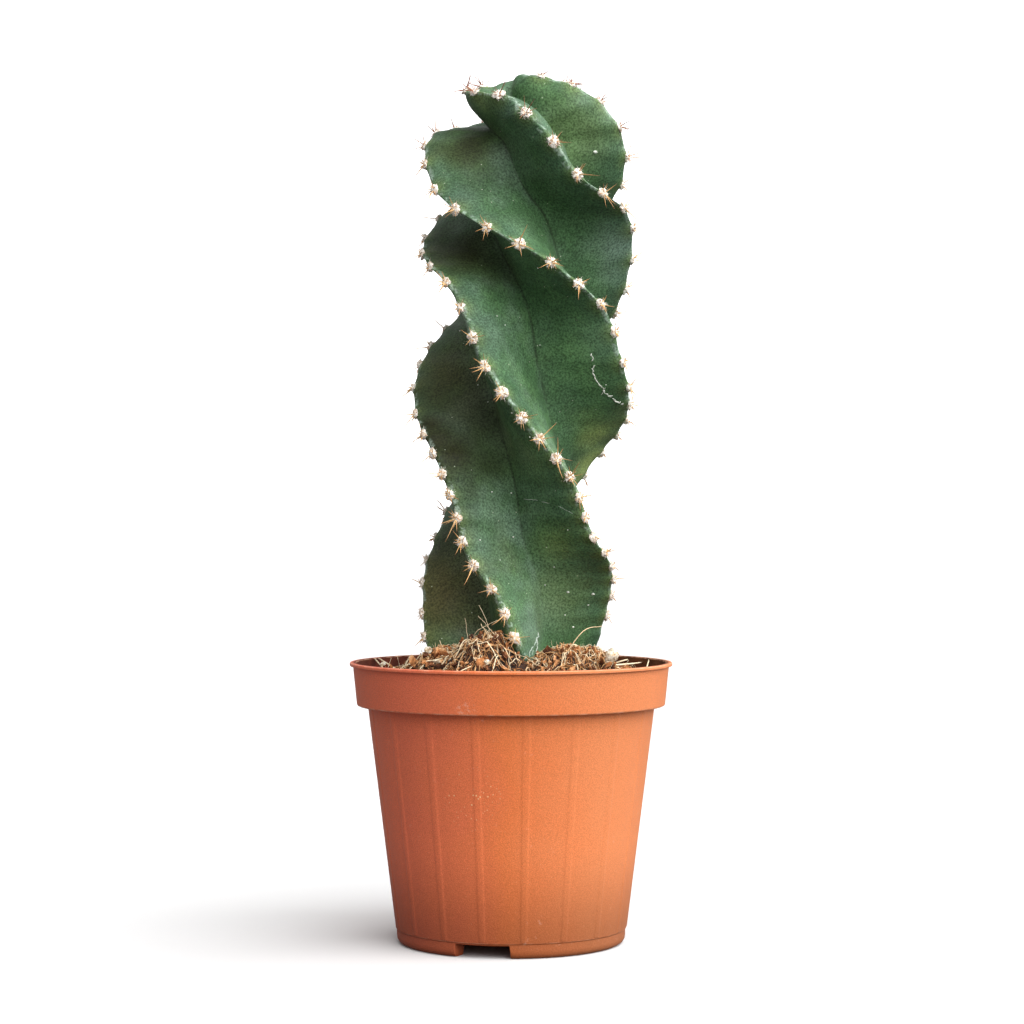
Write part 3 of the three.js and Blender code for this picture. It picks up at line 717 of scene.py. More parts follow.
def crest_line(rib, height, lift=0.0):
    """Radius and real height of a rib's crest, moved outwards by lift."""
    reached = height - curve(LOW_RIB_DROP, height) * (rib == LOW_RIB)
    angle = crown_angle(reached)
    radius = (curve(CREST_RADIUS, reached) + lift) * np.cos(angle)
    z = np.minimum(reached, SHOULDER) + CROWN_RISE * np.sin(angle)
    return radius, z + lift * np.sin(angle)


def valley_line(height):
    return curve(VALLEY_RADIUS, height) * np.cos(crown_angle(height)), curve(VALLEY_HEIGHT, height)


def half_sector(rib, side, height):
    """Half of the angle between a rib and its neighbour on one side."""
    turns, neighbour = divmod(rib + side, RIBS)
    return np.abs(rib_angle(neighbour, height) + 360 * turns - rib_angle(rib, height)) / 2


def blade_half(share, root_half, tip_half):
    """Half thickness of a rib's blade at a share of the way from valley to crest."""
    rounded = np.sqrt(1 - share**CREST_ROUNDNESS)
    return tip_half * rounded + (root_half - tip_half) * (1 - share) ** FLANK_POWER


def crest_point(rib, height):
    radius, z = crest_line(rib, height)
    return polar(radius, rib_angle(rib, height), z, curve(AXIS_OFFSET_X, height))


def areole_heights(rib):
    """Growth heights of a rib's areoles, set off along its crest as in the CAD."""
    heights = np.arange(AREOLE_START, AREOLE_END, CREST_STEP)
    steps = np.linalg.norm(np.diff(crest_point(rib, heights), axis=0), axis=-1)
    spacing = curve(AREOLE_SPACING[rib], heights)
    travelled = spacing[0] - FIRST_AREOLE[rib]
    found = []
    for height, step, wanted in zip(heights, [0, *steps], spacing):
        travelled += step
        if travelled >= wanted:
            found.append(height)
            travelled -= wanted
    return np.array(found)


def areole_frame(rib, height):
    """An areole's point, and its directions aside, along the crest and outwards."""
    point = crest_point(rib, height)
    along = unit(crest_point(rib, height + 1) - crest_point(rib, height - 1))
    tilt = crown_angle(height)
    out = polar(np.cos(tilt), rib_angle(rib, height), np.sin(tilt))
    out = unit(out - np.dot(out, along) * along)
    return point, np.array([np.cross(along, out), along, out])


AREOLES = [areole_heights(rib) for rib in range(RIBS)]


def near_areole(rib, height):
    """1 at the areoles of a rib's crest and 0 half way between them."""
    found = AREOLES[rib]
    ends = [2 * found[0] - found[1], *found, 2 * found[-1] - found[-2]]
    phase = np.interp(height, ends, np.arange(len(ends)))
    return (0.5 + 0.5 * np.cos(2 * math.pi * phase)) ** SCALLOP_SHARPNESS


def flank(rib, side, share, height):
    """Points of one side of a rib: a row for each height, a column for each share."""
    bump = near_areole(rib, height)
    crest_radius, crest_z = crest_line(rib, height, (bump - 1) * SCALLOP_DEPTH)
    valley_radius, valley_z = valley_line(height)
    sector = half_sector(rib, side, height)
    rise = (np.hypot(share, VALLEY_ROUNDING) - VALLEY_ROUNDING) / (1 - VALLEY_ROUNDING)
    rise = np.minimum(rise, 1)
    radius = valley_radius + (crest_radius - valley_radius) * rise
    root_half = valley_radius * np.sin(np.radians(sector))
    pinch = 1 - CREST_PINCH + CREST_PINCH * bump
    tip_half = np.minimum(curve(CREST_HALF_THICKNESS, height) * pinch, root_half)
    half = blade_half(share, root_half, tip_half)
    swell = np.sin(math.pi * share**1.5) * np.minimum(1, crest_radius / CREST_RADIUS[0][1])
    tubercle = share**TUBERCLE_FOOT * (1 - share**TUBERCLE_BROW)
    half = half + swell * curve(FLANK_SWELL, height) + TUBERCLE_SWELL * bump * tubercle
    # Each side of each rib takes its lumps from a place of its own in the noise
    ground = np.stack(np.broadcast_arrays(height, share * 26 + 90 * rib, side * 40.0), -1)
    for size, depth in FLANK_LUMPS:
        half = half + swell * depth * lumps(ground, size, 5)
    turn = np.degrees(np.arcsin(np.clip(half / np.maximum(radius, 1e-6), 0, 1)))
    turn = np.minimum(turn, sector * (1 - VALLEY_OPENING * np.sin(math.pi * share)))
    turn = np.where(share == 0, sector, np.where(share == 1, 0, turn))
    z = valley_z + (crest_z - valley_z) * rise
    return polar(radius, rib_angle(rib, height) + side * turn, z, curve(AXIS_OFFSET_X, height))


def stem_mesh():
    """Rings of the whole stem, with each point's share of the way to the crest."""
    heights = np.concatenate([np.arange(FIRST_HEIGHT, GROUND, 4), np.arange(GROUND, SHOULDER, STEM_ROW),
                              np.arange(SHOULDER, CROWN_LAST, CROWN_ROW)])[:, None]
    shares = 0.5 - 0.5 * np.cos(np.linspace(0, math.pi, FLANK_COLUMNS + 1))
    columns = []
    crest = []
    for rib in range(RIBS):
        columns.append(flank(rib, -1, shares[None, :], heights))
        columns.append(flank(rib, 1, shares[None, -2:0:-1], heights))
        crest.extend([*shares, *shares[-2:0:-1]])
    rings = np.concatenate(columns, axis=1)
    points, faces = closed_rings(rings, rings[0].mean(axis=0), rings[-1].mean(axis=0))
    return points, faces, np.concatenate([np.tile(crest, len(heights)), [0, 0]])


def nearness(points, places, ragged=1.0):
    """How near points are to the nearest of some places, each with a reach and an amount."""
    found = np.zeros(len(points))
    for centre, reach, amount in places:
        distance = np.linalg.norm(points - centre, axis=1) * ragged
        found = np.maximum(found, amount * np.exp(-((distance / reach) ** 2)))
    return found


def make_stem(material):
    """The skin of the whole stem, and a tree of its faces for the places seen on it."""
    points, faces, crest = stem_mesh()
    tree = BVHTree.FromPolygons(points.tolist(), faces.tolist())
    centres = np.concatenate([crest_point(rib, AREOLES[rib]) for rib in range(RIBS)])
    values = {"crest": crest,
              "areole": nearness(points, [(centre, AREOLE_TINT_REACH, 1) for centre in centres])}
    ragged = 1 + 0.3 * lumps(points, 7, 6)
    for shade, places in SKIN_PLACES.items():
        places = [(seen_on(tree, *pixel), reach, amount) for *pixel, reach, amount in places]
        values[shade] = nearness(points, places, ragged)
    piece = new_piece("stem_skin", points, faces, material, values)
    piece.data.set_sharp_from_angle(angle=math.radians(SKIN_SHARP_ANGLE))
    return piece, tree


def youth(point):
    """0 on the old stem and 1 near the growing tip."""
    return float(smoothstep(YOUNG_FROM, YOUNG_AT, point[2]))


def make_wool(material):
    """A felted cushion on each areole, with short hairs standing out of it."""
    rng = np.random.default_rng(WOOL_SEED)
    gathered = Gathered()
    points, faces = ball(3)
    for rib in range(RIBS):
        for height in AREOLES[rib]:
            centre, axes = areole_frame(rib, height)
            size = np.array([rng.uniform(1.6, 2.1), rng.uniform(1.7, 2.3), 1])
            rough = 1 + 0.42 * lumps(points * 2 + rng.uniform(0, 20, 3), 0.6, 11)[:, None]
            age = rng.uniform(0, 1) * (1 - youth(centre))
            centre = centre - axes[2] * WOOL_SINK
            gathered.add((centre + (points * rough * size) @ axes, faces), age=age)
            for _ in range(WOOL_HAIRS):
                way = unit(rng.normal(size=3) * [1, 1, 0.5] + [0, 0, 0.7])
                root = way * size * 0.85
                length = rng.uniform(0.7, 1.5)
                drift = rng.normal(size=3) * 0.35
                path = [root + way * length * t + drift * t**2 for t in (0, 0.5, 1)]
                gathered.add(tube(centre + np.array(path) @ axes, WOOL_HAIR_RADII, 3), age=age)
    return gathered.piece("areole_wool", material)


def make_spines(material):
    """Needles of each areole: a spread of radials, and longer ones standing out."""
    rng = np.random.default_rng(SPINE_SEED)
    gathered = Gathered()
    steps = np.linspace(0, 1, 6)

    def needle(centre, axes, way, length, thickness):
        way = unit(np.array(way))
        if centre[2] < SHORT_BELOW and abs(centre[0]) > SHORT_BEYOND:
            length = length * SHORTENING
        bend = rng.normal(size=3) * 0.05 * length
        path = centre + np.array([way * length * t + bend * t**2 for t in steps]) @ axes
        x, y, z = path[-1]
        if mix_height(x, y) + 1 <= z <= cad_box[1].z / MM:
            radii = thickness * (1 - steps) ** 0.7 + 0.03
            gathered.add(tube(path, radii, 6), reach=np.append(np.repeat(steps, 6), [0, 1]),
                         tone=rng.uniform(0, 1), youth=youth(centre))

    for rib in range(RIBS):
        for height in AREOLES[rib]:
            centre, axes = areole_frame(rib, height)
            count = rng.integers(5, 9)
            start = rng.uniform(0, 360)
            for i in range(count):
                around = math.radians(start + i * 360 / count + rng.uniform(-22, 22))
                rise = rng.uniform(0.25, 0.9)
                needle(centre, axes, (math.cos(around), math.sin(around), rise),
                       rng.uniform(2.6, 6), SPINE_RADIUS)
            for _ in range(rng.choice([1, 1, 2, 3])):
                needle(centre, axes, (rng.normal() * 0.8, rng.normal() * 0.7 - 0.4, 0.9),
                       rng.uniform(4.5, 10), CENTRAL_SPINE_RADIUS)
    return gathered.piece("spines", material)


# Places seen in the photograph

def seen_point(column, row, depth):
    """The point that shows at a pixel, at a depth behind the pot's middle."""
    reach = (CAMERA_DISTANCE + depth) / FOCAL_LENGTH
    return np.array([(column - AXIS_COLUMN) * reach, depth, CAMERA_HEIGHT - (row - HORIZON_ROW) * reach])


def seen_on(tree, column, row):
    """Where a pixel's line of sight meets a surface."""
    return np.array(tree.ray_cast(EYE, Vector(seen_point(column, row, 0)) - EYE)[0])


def make_scars(material, skin):
    """Scars and scratches that follow the skin, and flecks that sit on it."""
    gathered = Gathered()
    for route, radius, dryness in SCARS:
        path = resampled(np.array([seen_on(skin, *pixel) for pixel in route]), 4 * len(route))
        for size, sway in ((2.2, 2), (0.9, 1.6)):
            drift = np.stack([lumps(path * 3, size, seed) for seed in (1, 2, 3)], -1)
            path = path + sway * radius * drift * [1, 0.2, 1]
        gathered.add(tube(path, radius * (0.8 + 0.5 * lumps(path * 3, 1.3, 4)), 6), dryness=dryness)
    points, faces = ball(2)
    for column, row, radius in FLECKS:
        rough = 1 + 0.25 * lumps(points * 2 + column, 0.8, 4)[:, None]
        fleck = seen_on(skin, column, row) + points * rough * radius * [1, 0.6, 0.7]
        gathered.add((fleck, faces), dryness=1)
    return gathered.piece("skin_scars", material)


# Potting mix

def mix_height(x, y):
    """Height of the heap at a place, with its mounds but without its crumbs."""
    radius = np.hypot(x, y)
    height = MIX_EDGE_HEIGHT + MIX_HEAP_RISE * np.exp(-((radius / MIX_HEAP_RADIUS) ** 4) / 2)
    for mound_x, mound_y, rise, spread in MOUNDS:
        distance = np.hypot(x - mound_x, y - mound_y)
        height = height + rise * np.exp(-((distance / spread) ** 2) / 2)
    return height


def mix_surface(x, y):
    """The heap's rough surface."""
    flat = np.stack(np.broadcast_arrays(x, y, 0.0), -1)
    height = mix_height(x, y)
    for size, depth in MIX_LUMPS:
        height = height + depth * lumps(flat, size, 8)
    return height


def on_mix(points):
    """The points, moved up or down on to the mix."""
    x, y, _ = points.T
    return np.stack([x, y, mix_surface(x, y)], -1)


def above_mix(points):
    return points[:, 2] - mix_surface(points[:, 0], points[:, 1])


def stem_gap(x, y, z):
    """Roughly how far a place lies outside the stem, and below zero inside it."""
    across = x - curve(AXIS_OFFSET_X, z)
    radius = np.hypot(across, y)
    bearing = np.degrees(np.arctan2(across, -y))
    valley = valley_line(z)[0]
    gap = radius - valley
    for rib in range(RIBS):
        turn = np.radians(bearing - rib_angle(rib, z))
        outward = radius * np.cos(turn)
        crest = crest_line(rib, z)[0]
        share = np.clip((outward - valley) / (crest - valley), 0, 1)
        sector = np.minimum(half_sector(rib, 1, z), half_sector(rib, -1, z))
        half = blade_half(share, valley * np.sin(np.radians(sector)), curve(CREST_HALF_THICKNESS, z))
        beside = np.maximum(np.abs(radius * np.sin(turn)) - half, outward - crest)
        gap = np.minimum(gap, np.where(outward > 0, beside, 99))
    return gap


def inner_radius(z):
    """Radius of the pot's inner wall inside the collar."""
    share = (z - COLLAR_UNDERSIDE - WALL) / (POT_HEIGHT - COLLAR_UNDERSIDE - WALL)
    return COLLAR_BOTTOM_RADIUS - WALL + (COLLAR_TOP_RADIUS - COLLAR_BOTTOM_RADIUS) * share


def open_places(rng, count, margin):
    """Places on the open surface of the mix, clear of the stem and of the wall."""
    found = np.empty((0, 3))
    while len(found) < count:
        reach = (inner_radius(MIX_EDGE_HEIGHT) - margin) * np.sqrt(rng.uniform(0, 1, count))
        places = on_mix(polar(reach, rng.uniform(0, 360, count), 0.0))
        places = places[stem_gap(*places.T) > margin * 0.6]
        found = np.concatenate([found, places])
    return found[:count]


def place_on_mound(rng, share):
    """A random x and y about one of the mounds, spread by a share of its radius."""
    x, y, _, spread = MOUNDS[rng.integers(len(MOUNDS))]
    return np.array([x, y]) + rng.normal(size=2) * spread * share


def body_radius(z):
    """Radius of the pot's outer wall below the collar."""
    share = (z - MOULDING_LINE) / (COLLAR_UNDERSIDE - MOULDING_LINE)
    return BODY_BOTTOM_RADIUS + (BODY_TOP_RADIUS - BODY_BOTTOM_RADIUS) * share


def make_bed(material):
    """The mix as one body: it fills the pot and ends in a rough, heaped surface."""
    angles = np.arange(0, 360, BED_STEP)
    plate_top = COLLAR_UNDERSIDE + WALL
    below = [(FLOOR_STEP_RADIUS - GAP, FLOOR_TOP + GAP), (FLOOR_STEP_RADIUS - GAP, FLOOR_STEP_TOP + GAP),
             (body_radius(FLOOR_STEP_TOP) - WALL - GAP, FLOOR_STEP_TOP + GAP),
             (BODY_TOP_RADIUS - WALL - GAP, plate_top + GAP / 2),
             (COLLAR_BOTTOM_RADIUS - WALL - GAP, plate_top + GAP)]
    rings = [polar(radius, angles, z) for radius, z in below]
    edge = inner_radius(MIX_EDGE_HEIGHT) - GAP
    rings += [on_mix(polar(radius, angles, 0.0)) for radius in np.linspace(edge, 0.8, BED_RINGS)]
    points, faces = closed_rings(np.array(rings), (0, 0, FLOOR_TOP + GAP), on_mix(np.zeros(3)))
    tone = 0.22 + 0.2 * lumps(points, 5, 14) + 0.15 * lumps(points, 1.6, 15)
    return new_piece("mix_bed", points, faces, material, {"tone": tone})


def gap_shaded_tone(points, tone, share):
    """A tone with painted shade: darker down in the gaps and paler above them, by a share for each mm."""
    return np.clip(tone + share * (above_mix(points) - 1), 0, 1)


def crumb(rng, centre, radius, level, flat, roughness):
    """An angular crumb, turned at random."""
    points, faces = ball(level)
    jagged = 1 + roughness * rng.uniform(-1, 1, (len(points), 1))
    jagged = jagged + roughness * lumps(points + rng.uniform(0, 20, 3), 0.7, 9)[:, None]
    stretch = radius * np.array([1, rng.uniform(0.6, 1), rng.uniform(0.4, 1) * flat])
    return centre + (points * jagged * stretch) @ random_turn(rng), faces


def make_crumbs(material):
    """Crumbs of peat and slivers of bark over the open surface, with coarser ones on the mounds."""
    rng = np.random.default_rng(CRUMB_SEED)
    gathered = Gathered()
    for place in open_places(rng, CRUMBS, 1.2):
        radius = min(0.5 + rng.exponential(0.5), 2.6)
        lift = rng.uniform(-0.3, 0.8) * radius
        points, faces = crumb(rng, np.zeros(3), radius, 1 if radius < 1 else 2, 0.5, 0.42)
        if rng.uniform() > 0.4:
            points = points * SLIVER
        points = place + [0, 0, lift] + points @ random_turn(rng)
        tone = rng.beta(1.5, 1.9) * min(1, 1.1 / radius)
        if np.hypot(points[:, 0], points[:, 1]).max() < inner_radius(MIX_EDGE_HEIGHT):
            gathered.add((points, faces), tone=gap_shaded_tone(points, tone, 0.12))
    for _ in range(MOUND_CRUMBS):
        x, y = place_on_mound(rng, 0.75)
        place = np.array([x, y, mix_surface(x, y) + rng.uniform(0, 1.8)])
        if stem_gap(*place) > 1.5:
            points, faces = crumb(rng, place, min(0.4 + rng.exponential(0.4), 1.4), 2, 0.45, 0.5)
            gathered.add((points, faces), tone=gap_shaded_tone(points, rng.beta(1.2, 1.2), 0.08))
    piece = gathered.piece("mix_crumbs", material)
    piece.data.shade_flat()
    return piece


def strand(rng, start, heading, length, lifts, curl, radius):
    """A thin strand that wanders over the heap, raised by lifts along its length."""
    steps = np.linspace(0, 1, STRAND_POINTS)
    bearing = np.radians(heading + np.cumsum(rng.normal(size=STRAND_POINTS)) * STRAND_TURN * curl)
    step = length / (STRAND_POINTS - 1)
    x = start[0] + np.cumsum(np.sin(bearing)) * step
    y = start[1] - np.cumsum(np.cos(bearing)) * step
    z = mix_surface(x, y) + np.interp(steps, np.linspace(0, 1, len(lifts)), lifts)
    radii = radius * np.interp(steps, (0, 0.2, 0.8, 1), (0.6, 1, 0.9, 0.35))
    return np.stack([x, y, z], -1), radii


def straw(x, y, degrees, z):
    """A straight path from the mix at x and y to the pot's wall."""
    return np.linspace((x, y, mix_surface(x, y)), polar(inner_radius(z) - 0.3, degrees, z), 5)


def make_fibres(material):
    """Coir fibres: a short tangle over the whole surface, bowed ones, loose ends, straws and stalks."""
    rng = np.random.default_rng(FIBRE_SEED)
    gathered = Gathered()

    def lay(path, radii, tone):
        if (stem_gap(*path.T) > 0.3).all() and (np.hypot(path[:, 0], path[:, 1]) < LIP_RADIUS - 3).all():
            points, faces = tube(path, radii, 3)
            gathered.add((points, faces), tone=gap_shaded_tone(points, tone, 0.2))

    for place in open_places(rng, SHORT_FIBRES, 1.5):
        length = 2 + rng.exponential(2.8)
        lifts = (rng.uniform(-0.5, 0.8), rng.uniform(0.2, 1.9), rng.uniform(-0.6, 1.8))
        path, radii = strand(rng, place, rng.uniform(0, 360), length, lifts, 0.5, rng.uniform(0.08, 0.24))
        lay(path, radii, rng.beta(1.4, 1.4))
    for place in open_places(rng, BOWED_FIBRES, 2):
        lifts = (-1, rng.uniform(1.5, 4), -1)
        path, radii = strand(rng, place, rng.uniform(0, 360), rng.uniform(12, 26), lifts, 0.5,
                             rng.uniform(0.16, 0.28))
        lay(path, radii, rng.uniform(0.6, 1))
    steps = np.linspace(0, 1, STRAND_POINTS)
    for place in open_places(rng, LOOSE_ENDS, 2):
        way = unit(np.array([*rng.normal(size=2), rng.uniform(0.2, 1.6)]))
        length = rng.uniform(2, 6.5)
        bend = rng.normal(size=3) * 0.2 * length
        path = np.array([place - [0, 0, 0.5] + way * length * t + bend * t**2 for t in steps])
        lay(path, rng.uniform(0.1, 0.22) * (1 - 0.7 * steps), rng.beta(2, 1.4))
    for _ in range(MOUND_FIBRES):
        path, radii = strand(rng, place_on_mound(rng, 0.8), rng.uniform(0, 360), rng.uniform(2, 8),
                             (rng.uniform(-0.5, 1), rng.uniform(0.3, 2.8), rng.uniform(-0.5, 2.4)),
                             1.6, rng.uniform(0.08, 0.24))
        lay(path, radii, rng.beta(1.2, 1))
    for degrees in even_angles(STRAWS) + rng.uniform(-6, 6, STRAWS):
        z = rng.uniform(98.5, POT_HEIGHT - 0.6)
        x, y, _ = polar(rng.uniform(38, 48), degrees + rng.uniform(-16, 16), 0.0)
        lay(straw(x, y, degrees, z), rng.uniform(0.18, 0.3) * np.linspace(1, 0.6, 5), rng.uniform(0.7, 1))
    for place in LEANING_STRAWS:
        gathered.add(tube(straw(*place), np.linspace(0.36, 0.26, 5), 5), tone=1)
    for depth, route, radius in STALKS:
        path = np.array([seen_point(*pixel, depth - i) for i, pixel in enumerate([route[0], *route])])
        path[0, 2] = mix_surface(*path[0, :2]) - 1
        path = resampled(path, 9)
        path = path + 0.25 * lumps(path + radius * 50, 1.5, 2)[:, None]
        gathered.add(tube(path, radius * np.linspace(1, 0.5, 9), 4), tone=rng.uniform(0.75, 1))
    arch = np.array([curve(axis, np.linspace(0, 1, 12)) for axis in ARCHED_FIBRE]).T
    gathered.add(tube(arch, np.linspace(0.22, 0.09, 12), 5), tone=0.85)
    return gathered.piece("coir_fibres", material)


def resting(column, row, radius):
    """The nearest point on a pixel's line of sight where a ball of a radius rests on the mix."""
    path = np.array([seen_point(column, row, depth) for depth in SIGHT_DEPTHS])
    path = path[np.hypot(path[:, 0], path[:, 1]) < inner_radius(MIX_EDGE_HEIGHT) - radius]
    return path[np.argmin(np.maximum(above_mix(path), 1.1 * radius))]


def make_perlite(material):
    """White grains: the ones that the photograph shows, and scattered ones."""
    rng = np.random.default_rng(PERLITE_SEED)
    gathered = Gathered()
    places = [(resting(*spot), spot[2]) for spot in PERLITE]
    places += [(place, min(0.5 + rng.exponential(0.3), 1.4))
               for place in open_places(rng, PERLITE_GRAINS, 2.5)]
    for place, radius in places:
        gathered.add(crumb(rng, place, radius, 3, 0.95, 0.2))
    return gathered.piece("perlite", material)


# Pot

def rounded_outline(corners):
    """Outline through (radius, z, rounding, ribbed, edge, inside) corners, each rounded by a curve."""
    corners = np.array(corners, float)
    found = []
    for i, here in enumerate(corners):
        before = corners[i - 1] if i else np.array([0, here[1]])
        after = corners[i + 1] if i + 1 < len(corners) else np.array([0, here[1]])
        ends = [here[:2] + unit(other[:2] - here[:2]) * here[2] for other in (before, after)]
        for t in np.linspace(0, 1, CORNER_STEPS):
            place = (1 - t) ** 2 * ends[0] + 2 * t * (1 - t) * here[:2] + t**2 * ends[1]
            found.append([*place, here[3], here[4] * math.sin(math.pi * t), here[5]])
    return np.array(found)


def pot_outline(is_notch):
    """The pot's section from under its floor, out and up over the lip, and down inside."""
    lip_bottom = POT_HEIGHT - LIP_DEPTH
    foot = BODY_BOTTOM_RADIUS - MOULDING_STEP
    step = MOULDING_LINE - MOULDING_STEP
    ring = NOTCH_BACK_RADIUS if is_notch else FOOT_RING_INNER
    low = step - 0.3 if is_notch else 0
    return rounded_outline([
        (ring, RECESS_DEPTH, 0.3, 0, 0, 0),
        (ring, low, 0.3, 0, 0, 0),
        (foot, low, 0.25 if is_notch else FOOT_CORNER, 0, 0, 0),
        (foot, step, 0.02, 0, 0, 0),
        (BODY_BOTTOM_RADIUS, MOULDING_LINE, 0.12, 0, 1, 0),
        (body_radius(MOULDING_LINE + 0.7), MOULDING_LINE + 0.7, 0.2, 1, 0, 0),
        (BODY_TOP_RADIUS, COLLAR_UNDERSIDE, 0.5, 1, 0, 0),
        (COLLAR_BOTTOM_RADIUS, COLLAR_UNDERSIDE, 0.7, 0, 1, 0),
        (COLLAR_TOP_RADIUS, lip_bottom, 0.35, 0, 0, 0),
        (LIP_RADIUS, lip_bottom, 0.35, 0, 0.5, 0),
        (LIP_RADIUS, POT_HEIGHT, 0.5, 0, 1, 0),
        (COLLAR_TOP_RADIUS - WALL, POT_HEIGHT, 0.5, 0, 1, 0.9),
        (COLLAR_BOTTOM_RADIUS - WALL, COLLAR_UNDERSIDE + WALL, 0.8, 0, 0, 1),
        (BODY_TOP_RADIUS - WALL, COLLAR_UNDERSIDE + WALL, 0.8, 0, 0, 1),
        (body_radius(FLOOR_STEP_TOP) - WALL, FLOOR_STEP_TOP, 0.8, 0, 0, 1),
        (FLOOR_STEP_RADIUS, FLOOR_STEP_TOP, 0.3, 0, 0, 1),
        (FLOOR_STEP_RADIUS, FLOOR_TOP, 0.3, 0, 0, 1),
    ])


POT_RIB_MARKS = even_angles(POT_RIBS, FIRST_POT_RIB_ANGLE)
POT_RIB_HALF = math.degrees(POT_RIB_WIDTH / 2 / body_radius(COLLAR_UNDERSIDE / 2))
NOTCH_MARKS = even_angles(NOTCHES, FIRST_NOTCH_ANGLE)
NOTCH_HALF = NOTCH_SPREAD / 2


def pot_angles():
    """Angles of the pot's columns: even ones, and close ones at the edges of ribs and notches."""
    marks = [np.arange(0, 360, POT_COLUMN_STEP)]
    for offset in (-0.6, -0.3, 0, 0.3, 0.6):
        for middles, half in ((POT_RIB_MARKS, POT_RIB_HALF), (NOTCH_MARKS, NOTCH_HALF)):
            marks += [middles - half + offset, middles + half + offset]
    angles = np.sort(np.concatenate(marks) % 360)
    return angles[np.diff(angles, append=angles[0] + 360) > 0.1]


def make_pot(material):
    """The pot's shell: its section swept round, with ribs and notches, and drilled."""
    angles = pot_angles()
    rib = smoothstep(POT_RIB_HALF + POT_RIB_EDGE, POT_RIB_HALF - POT_RIB_EDGE,
                     distance_to(angles, POT_RIB_MARKS))
    notch = smoothstep(NOTCH_HALF + NOTCH_EDGE, NOTCH_HALF - NOTCH_EDGE, distance_to(angles, NOTCH_MARKS))
    plain = pot_outline(False)
    cut = pot_outline(True)
    rings = []
    for whole, opened in zip(plain, cut):
        radius = whole[0] + (opened[0] - whole[0]) * notch + POT_RIB_PROUD * whole[2] * rib
        z = whole[1] + (opened[1] - whole[1]) * notch
        rings.append(polar(radius, angles, z))
    points, faces = closed_rings(np.array(rings), (0, 0, RECESS_DEPTH), (0, 0, FLOOR_TOP))
    edge, inside = (np.repeat(values, len(angles)) for values in plain[:, 3:].T)
    piece = new_piece("pot_shell", points, faces, material,
                      {"edge": [*edge, 0, 0], "inside": [*inside, 0, 1]})
    piece.data.set_sharp_from_angle(angle=math.radians(POT_SHARP_ANGLE))
    drill_floor(piece)
    return piece


def drill_floor(piece):
    """Cuts the drain holes through the pot's floor."""
    drill = bmesh.new()
    for degrees in even_angles(DRAIN_HOLES):
        x, y, z = polar(DRAIN_CIRCLE_RADIUS, degrees, RECESS_DEPTH) * MM
        made = bmesh.ops.create_cone(
            drill, cap_ends=True, segments=DRAIN_HOLE_SIDES, depth=DRILL_LENGTH * MM,
            radius1=DRAIN_HOLE_RADIUS * MM, radius2=DRAIN_HOLE_RADIUS * MM)
        bmesh.ops.translate(drill, verts=made["verts"], vec=(x, y, z))
    mesh = bpy.data.meshes.new("drill")
    drill.to_mesh(mesh)
    drill.free()
    cutter = new_object("drill", mesh)
    cut = piece.modifiers.new("holes", "BOOLEAN")
    cut.object = cutter
    cut.operation = "DIFFERENCE"
    cut.solver = "EXACT"
    view = bpy.context.evaluated_depsgraph_get()
    piece.data = bpy.data.meshes.new_from_object(piece.evaluated_get(view))
    piece.modifiers.clear()
    bpy.data.objects.remove(cutter)


# Floor, light and camera

def stage_piece(name, points, faces, shade, glow=0.0):
    """A matt piece of the stage. The camera alone sees it, or all but the camera for the ground."""
    paper = Shader(name, {"Base Color": (shade, shade, shade, 1), "Specular IOR Level": 0,
                          "Emission Color": (1, 1, 1, 1), "Emission Strength": glow})
    piece = new_piece(name, points, faces, paper.material)
    is_ground = name == "ground"
    piece.visible_camera = not is_ground
    piece.visible_diffuse = is_ground
    piece.visible_glossy = is_ground
    piece.visible_shadow = is_ground
    return piece


def make_stage():
    """A pale floor and backdrop that only the camera sees, over a dull ground that only lights."""
    for name, top, shade in (("floor", 0, FLOOR_SHADE), ("ground", -GROUND_DROP, GROUND_SHADE)):
        rings = np.array([polar(STAGE_RADIUS, even_angles(64), z) for z in (top - 2, top)])
        disc = closed_rings(rings, (0, 0, top - 2), (0, 0, top))
        stage_piece(name, *disc, shade).data.shade_flat()
    points, faces = ball(5)
    stage_piece("dome", points * STAGE_RADIUS, faces[:, ::-1], DOME_SHADE, 1.0)


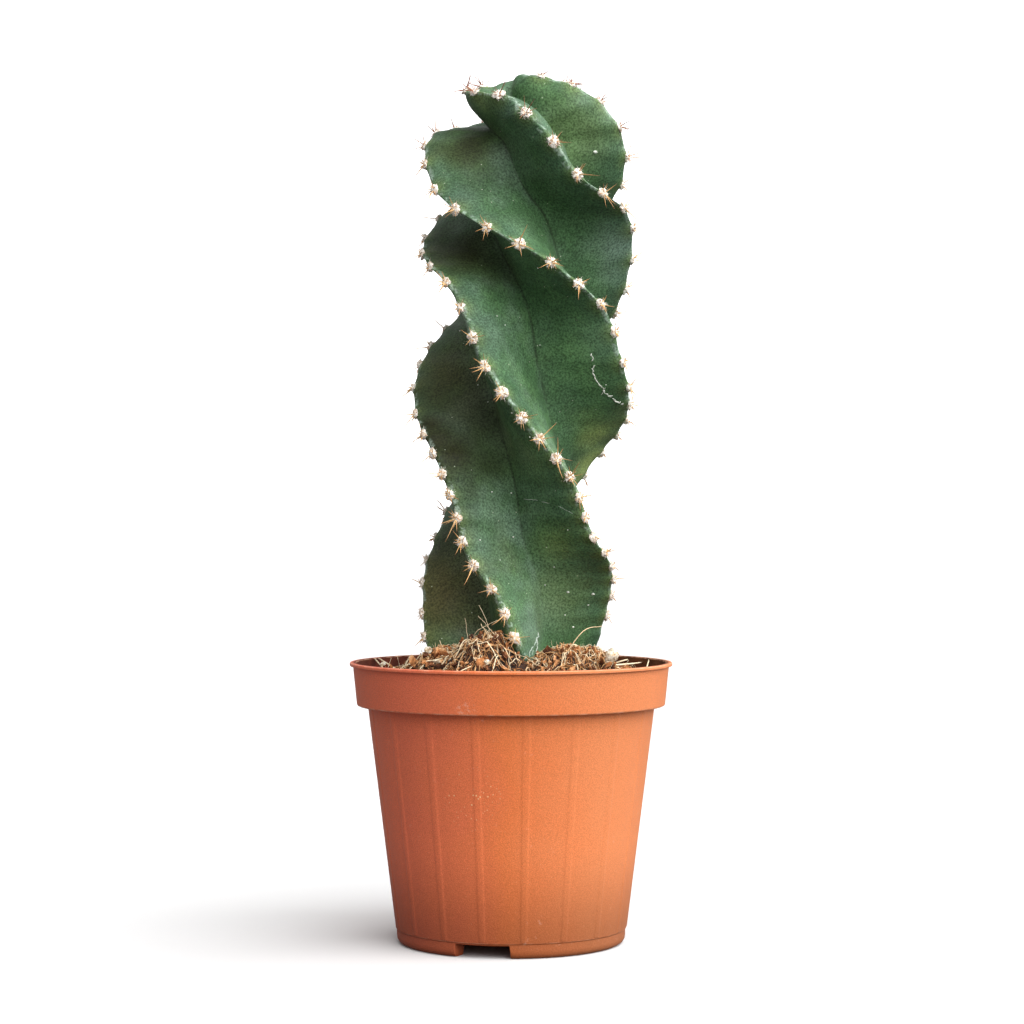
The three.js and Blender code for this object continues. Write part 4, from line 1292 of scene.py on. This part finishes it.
def make_light():
    """A broad key from the front right, a lower one from behind on the right, and an even fill."""
    for name, bearing, elevation, size, strength in LIGHTS:
        light = bpy.data.lights.new(name, "SUN")
        light.energy = strength
        light.angle = math.radians(size)
        toward = Vector(polar(1, bearing, math.tan(math.radians(elevation))))
        new_object(name, light).rotation_euler = toward.to_track_quat("Z", "Y").to_euler()
    world = bpy.data.worlds.new("fill")
    world.use_nodes = True
    sky = world.node_tree.nodes["Background"]
    sky.inputs["Color"].default_value = (1, 1, 1, 1)
    sky.inputs["Strength"].default_value = FILL
    bpy.context.scene.world = world
    bpy.context.scene.view_settings.view_transform = "Standard"


def make_camera():
    """The photograph's view: level, with a long lens and a shift of a few pixels."""
    camera = bpy.data.cameras.new("camera")
    camera.sensor_width = SENSOR_WIDTH
    camera.lens = SENSOR_WIDTH * FOCAL_LENGTH / PHOTO_SIZE
    camera.shift_x = (PHOTO_SIZE / 2 - AXIS_COLUMN) / PHOTO_SIZE
    camera.shift_y = (HORIZON_ROW - PHOTO_SIZE / 2) / PHOTO_SIZE
    eye = new_object("camera", camera)
    eye.location = EYE * MM
    eye.rotation_euler = (math.pi / 2, 0, 0)
    bpy.context.scene.camera = eye


# Assembly

make_camera()
make_stage()
make_light()

skin, skin_tree = make_stem(flesh_material())
# Each piece with its material slot and the CAD node that it stands for
PIECES = [
    (make_bed(mix_material("mix_bed", BED_SHADES)), "potting_mix", "potting_mix"),
    (make_pot(plastic_material()), "pot_plastic", "pot"),
    (make_crumbs(mix_material("mix_crumbs", CRUMB_SHADES)), "potting_mix", "potting_mix"),
    (make_fibres(mix_material("coir_fibres", FIBRE_SHADES, 0.3)), "potting_mix", "potting_mix"),
    (make_perlite(perlite_material()), "potting_mix", "potting_mix"),
    (skin, "cactus_flesh", "cereus_stem"),
    (make_scars(cork_material(), skin_tree), "cactus_flesh", "cereus_stem"),
    (make_wool(wool_material()), "areole_wool", "cereus_stem"),
    (make_spines(spine_material()), "spines", "cereus_stem"),
]
for piece, slot, node in PIECES:
    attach(piece, BODY)
    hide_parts(node)
